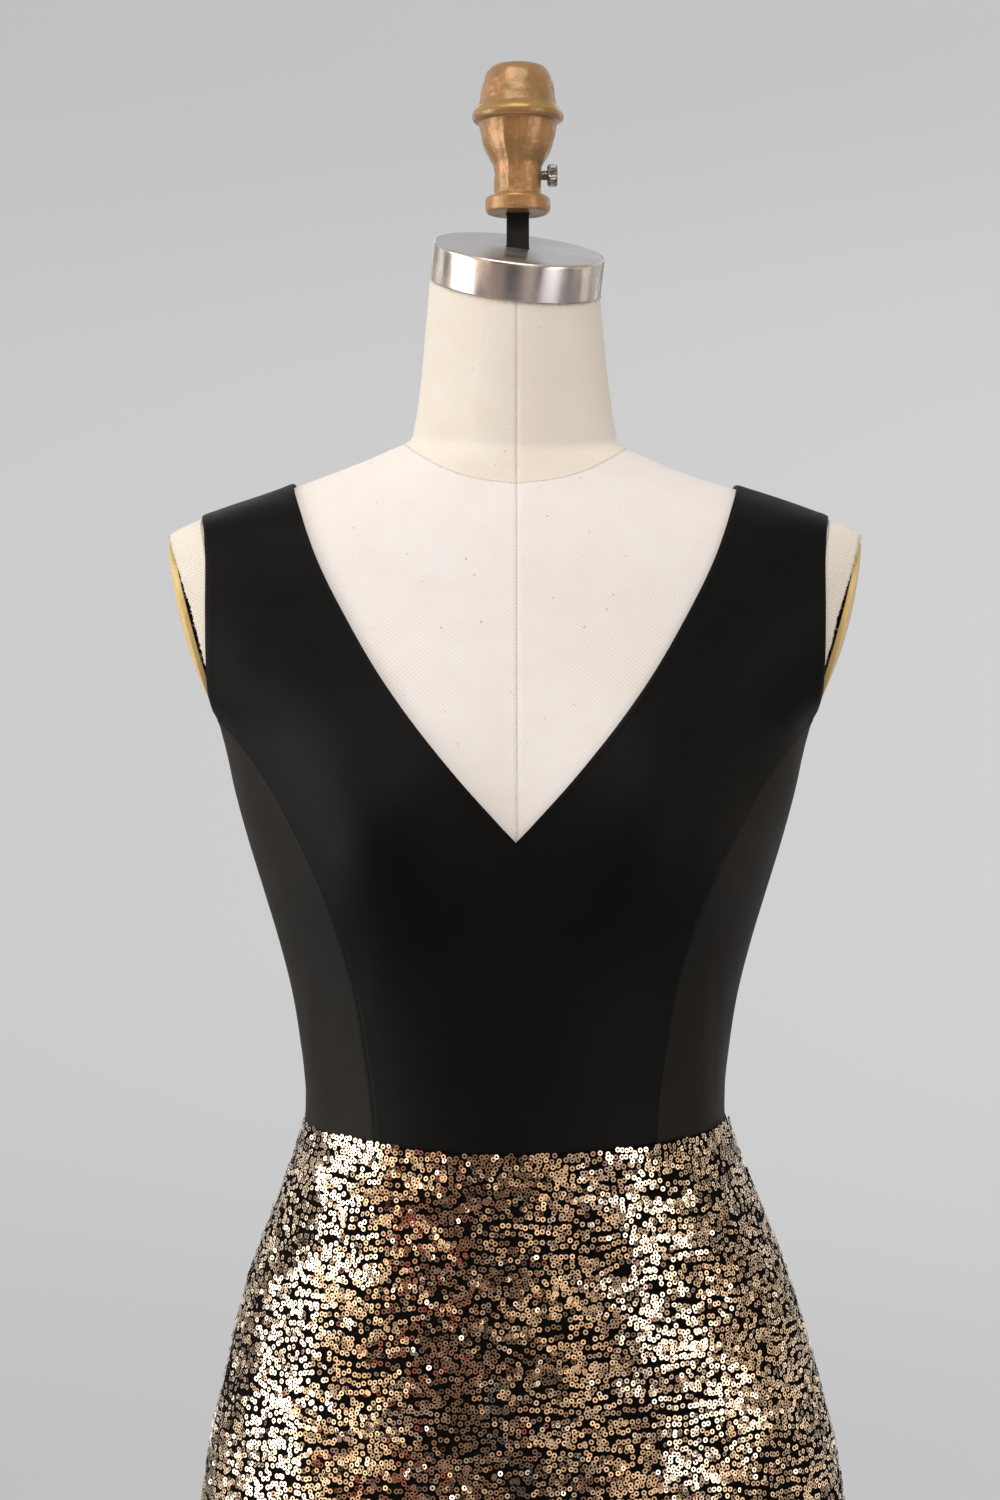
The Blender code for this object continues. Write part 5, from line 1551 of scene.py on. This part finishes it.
CAMERA_AT = (-0.00875, -1.70, 1.2704)
LENS, SENSOR = 70.0, 36.0
FLOOR_HALF = 3.1
LEVEL_BANDS = np.array([
    # azimuth deg (0 is the camera's side, minus is left), red, green, blue
    (-180, 0.42, 0.41, 0.4), (-112, 0.44, 0.38, 0.33), (-98, 0.34, 0.26, 0.2),
    (-72, 0.8, 0.6, 0.42), (-41, 0.78, 0.57, 0.38), (-37, 0.34, 0.22, 0.15),
    (-35, 0.15, 0.013, 0.015), (-31, 0.14, 0.012, 0.015), (-28, 0.14, 0.09, 0.065),
    (3, 0.1, 0.062, 0.042), (9, 0.4, 0.28, 0.19), (26, 0.46, 0.33, 0.23), (32, 0.18, 0.11, 0.08),
    (40, 0.28, 0.19, 0.14), (58, 0.72, 0.56, 0.42), (74, 0.42, 0.31, 0.22), (96, 0.46, 0.36, 0.28),
    (125, 0.42, 0.38, 0.35), (180, 0.42, 0.41, 0.4),
])
LOW_BANDS = np.array([
    # azimuth deg, red, green, blue
    (-180, 0.3, 0.3, 0.31), (-104, 0.22, 0.22, 0.23), (-100, 1.6, 1.6, 1.6), (-71, 1.6, 1.6, 1.6),
    (-67, 0.09, 0.085, 0.085), (-51, 0.09, 0.08, 0.08), (-46, 0.42, 0.33, 0.29),
    (-20, 0.38, 0.29, 0.25), (-15, 0.07, 0.07, 0.075), (6, 0.07, 0.07, 0.075),
    (9, 0.58, 0.47, 0.4), (25, 0.58, 0.47, 0.4), (28, 0.09, 0.05, 0.07), (35, 0.09, 0.05, 0.07),
    (39, 1.05, 0.95, 0.93), (63, 1.05, 0.95, 0.93), (69, 0.27, 0.26, 0.26),
    (180, 0.27, 0.27, 0.28),
])
BLOTCH_SCALE, BLOTCH_RANGE = 6.0, (0.14, 2.5)
SPOT_SCALE, SPOT_GAIN = 12.0, 6.0
BACKDROP_EDGE, BACKDROP_MIDDLE = (0.546, 0.546, 0.549), (0.622, 0.622, 0.627)
SOFT_BOXES = (
    # name, azimuth deg, elevation deg, roll deg, distance, width, height, power W, colour, mirrored
    ("left_box", -80, 6, 9, 2.3, 1.25, 2.2, 23.0, (1.0, 0.99, 0.98), True),
    ("left_fill", -80, 6, 9, 2.3, 1.15, 2.2, 18.0, (1.0, 0.985, 0.97), False),
    ("right_box", 50, 4, -12, 2.5, 0.80, 1.5, 7.0, (1.0, 0.98, 0.97), True),
    ("top_box", -8, 52, 0, 2.8, 2.4, 1.6, 36.0, (1.0, 0.98, 0.96), True),
    ("top_fill", -8, 52, 0, 2.8, 2.4, 1.6, 30.0, (1.0, 0.98, 0.96), False),
)
AIM = np.array([0.0, 0.0, 1.15])


def add_box(name, azimuth, elevation, roll, distance, wide, tall, power, colour, mirrored):
    """A soft box that faces the dress, rolled about its own middle. Azimuth 0 is the camera's
    side, and minus is left. A fill isn't mirrored."""
    light = bpy.data.lights.new(name, "AREA")
    light.shape = "RECTANGLE"
    light.size, light.size_y = wide, tall
    light.energy, light.color = power, colour
    lamp = add_object(name, light)
    turn, rise = math.radians(azimuth), math.radians(elevation)
    level = math.cos(rise)
    way = np.array([math.sin(turn) * level, -math.cos(turn) * level, math.sin(rise)])
    lamp.location = AIM + way * distance
    side = unit(np.cross((0, 0, 1), way))
    turned = Matrix((side, np.cross(way, side), way)).transposed()
    lamp.rotation_euler = (turned @ Matrix.Rotation(math.radians(roll), 3, "Z")).to_euler()
    lamp.visible_camera = False
    lamp.visible_glossy = mirrored


def colour_bands(world, share, table):
    """A ring of colours round the room, by bearing."""
    bands = node(world, "ValToRGB", {0: share})
    stops = bands.color_ramp.elements
    for end, position in ((0, 0.0), (-1, 1.0)):
        stops[end].position, stops[end].color = position, (*table[end, 1:], 1.0)
    for azimuth, *colour in table[1:-1]:
        stops.new(azimuth / 360 + 0.5).color = (*colour, 1.0)
    return bands.outputs[0]


def surround():
    """The room: bands of light and dark by their bearing, which the sequins and the metal
    mirror, an even light for matt cloth, and a plain grey backdrop behind the dress."""
    world = bpy.data.worlds.new("studio")
    world.use_nodes = True
    way = node(world, "TexCoord").outputs["Generated"]
    x, y, z = parts(world, way)
    bearing = maths(world, "ARCTAN2", x, times(world, y, -1.0))
    share = times(world, bearing, 0.5 / math.pi, 0.5)
    blotch = ramp(world, noise(world, way, BLOTCH_SCALE, 2), 0.36, 0.64, *BLOTCH_RANGE)
    spots = ramp(world, noise(world, way, SPOT_SCALE, 1), 0.64, 0.72, 0.0, SPOT_GAIN)

    def scaled(colour, by):
        """A colour times a value."""
        return node(world, "VectorMath", {0: colour, 3: by}, operation="SCALE").outputs[0]

    level = scaled(colour_bands(world, share, LEVEL_BANDS), maths(world, "ADD", blotch, spots))
    low, above = ramp(world, z, -0.19, -0.32), ramp(world, z, 0.25, 0.6)
    behind = ramp(world, y, 0.1, 0.5)
    mirror = layers(
        world, level,
        (low, colour_bands(world, share, LOW_BANDS)),
        (above, layers(world, (0.50, 0.45, 0.39), (behind, (0.60, 0.60, 0.61)))),
        (ramp(world, z, -0.55, -0.8), (0.34, 0.33, 0.32)),
    )
    soft = layers(world, (0.53, 0.52, 0.51), (above, (0.60, 0.59, 0.58)))
    fade = ramp(world, times(world, z, z), 0.0, 0.058)
    plain = layers(world, BACKDROP_MIDDLE, (fade, BACKDROP_EDGE))
    plain = scaled(plain, times(world, x, 0.18, 1.0))
    rays = node(world, "LightPath").outputs
    seen = layers(world, mirror, (rays["Is Diffuse Ray"], soft), (rays["Is Camera Ray"], plain))
    world.node_tree.links.new(seen, world.node_tree.nodes["Background"].inputs[0])
    bpy.context.scene.world = world


def pale_floor():
    """A matt floor that fades out towards its edge."""
    look = material("pale_floor", (0.62, 0.62, 0.62), 0.7)
    where = on_object(look)
    tone = ramp(look, noise(look, where, 3, 4), 0.3, 0.7)
    length = node(look, "VectorMath", {0: where}, operation="LENGTH").outputs["Value"]
    colour = layers(look, (0.60, 0.60, 0.60), (tone, (0.65, 0.65, 0.645)))
    alpha = ramp(look, length, 0.45 * FLOOR_HALF, FLOOR_HALF, 1.0, 0.0)
    return shade(look, Base_Color=colour, Alpha=alpha)


radius, turn = np.linspace(0, 1, 12)[:, None] ** 1.5 * FLOOR_HALF, full_turn(64)
flat = np.stack([radius * np.cos(turn), radius * np.sin(turn), 0 * radius * turn], -1)
floor_mesh = grid_mesh([{"at": flat[:, ::-1]}])
floor_mesh.materials.append(pale_floor())
floor = add_object("studio_floor", floor_mesh)
floor.visible_glossy = False

for box in SOFT_BOXES:
    add_box(*box)
surround()

camera = bpy.data.cameras.new("camera")
camera.lens, camera.sensor_width = LENS, SENSOR
eye = add_object("camera", camera)
eye.location = CAMERA_AT
eye.rotation_euler = (math.radians(90), 0, 0)
bpy.context.scene.camera = eye
bpy.context.scene.view_settings.view_transform = "Standard"
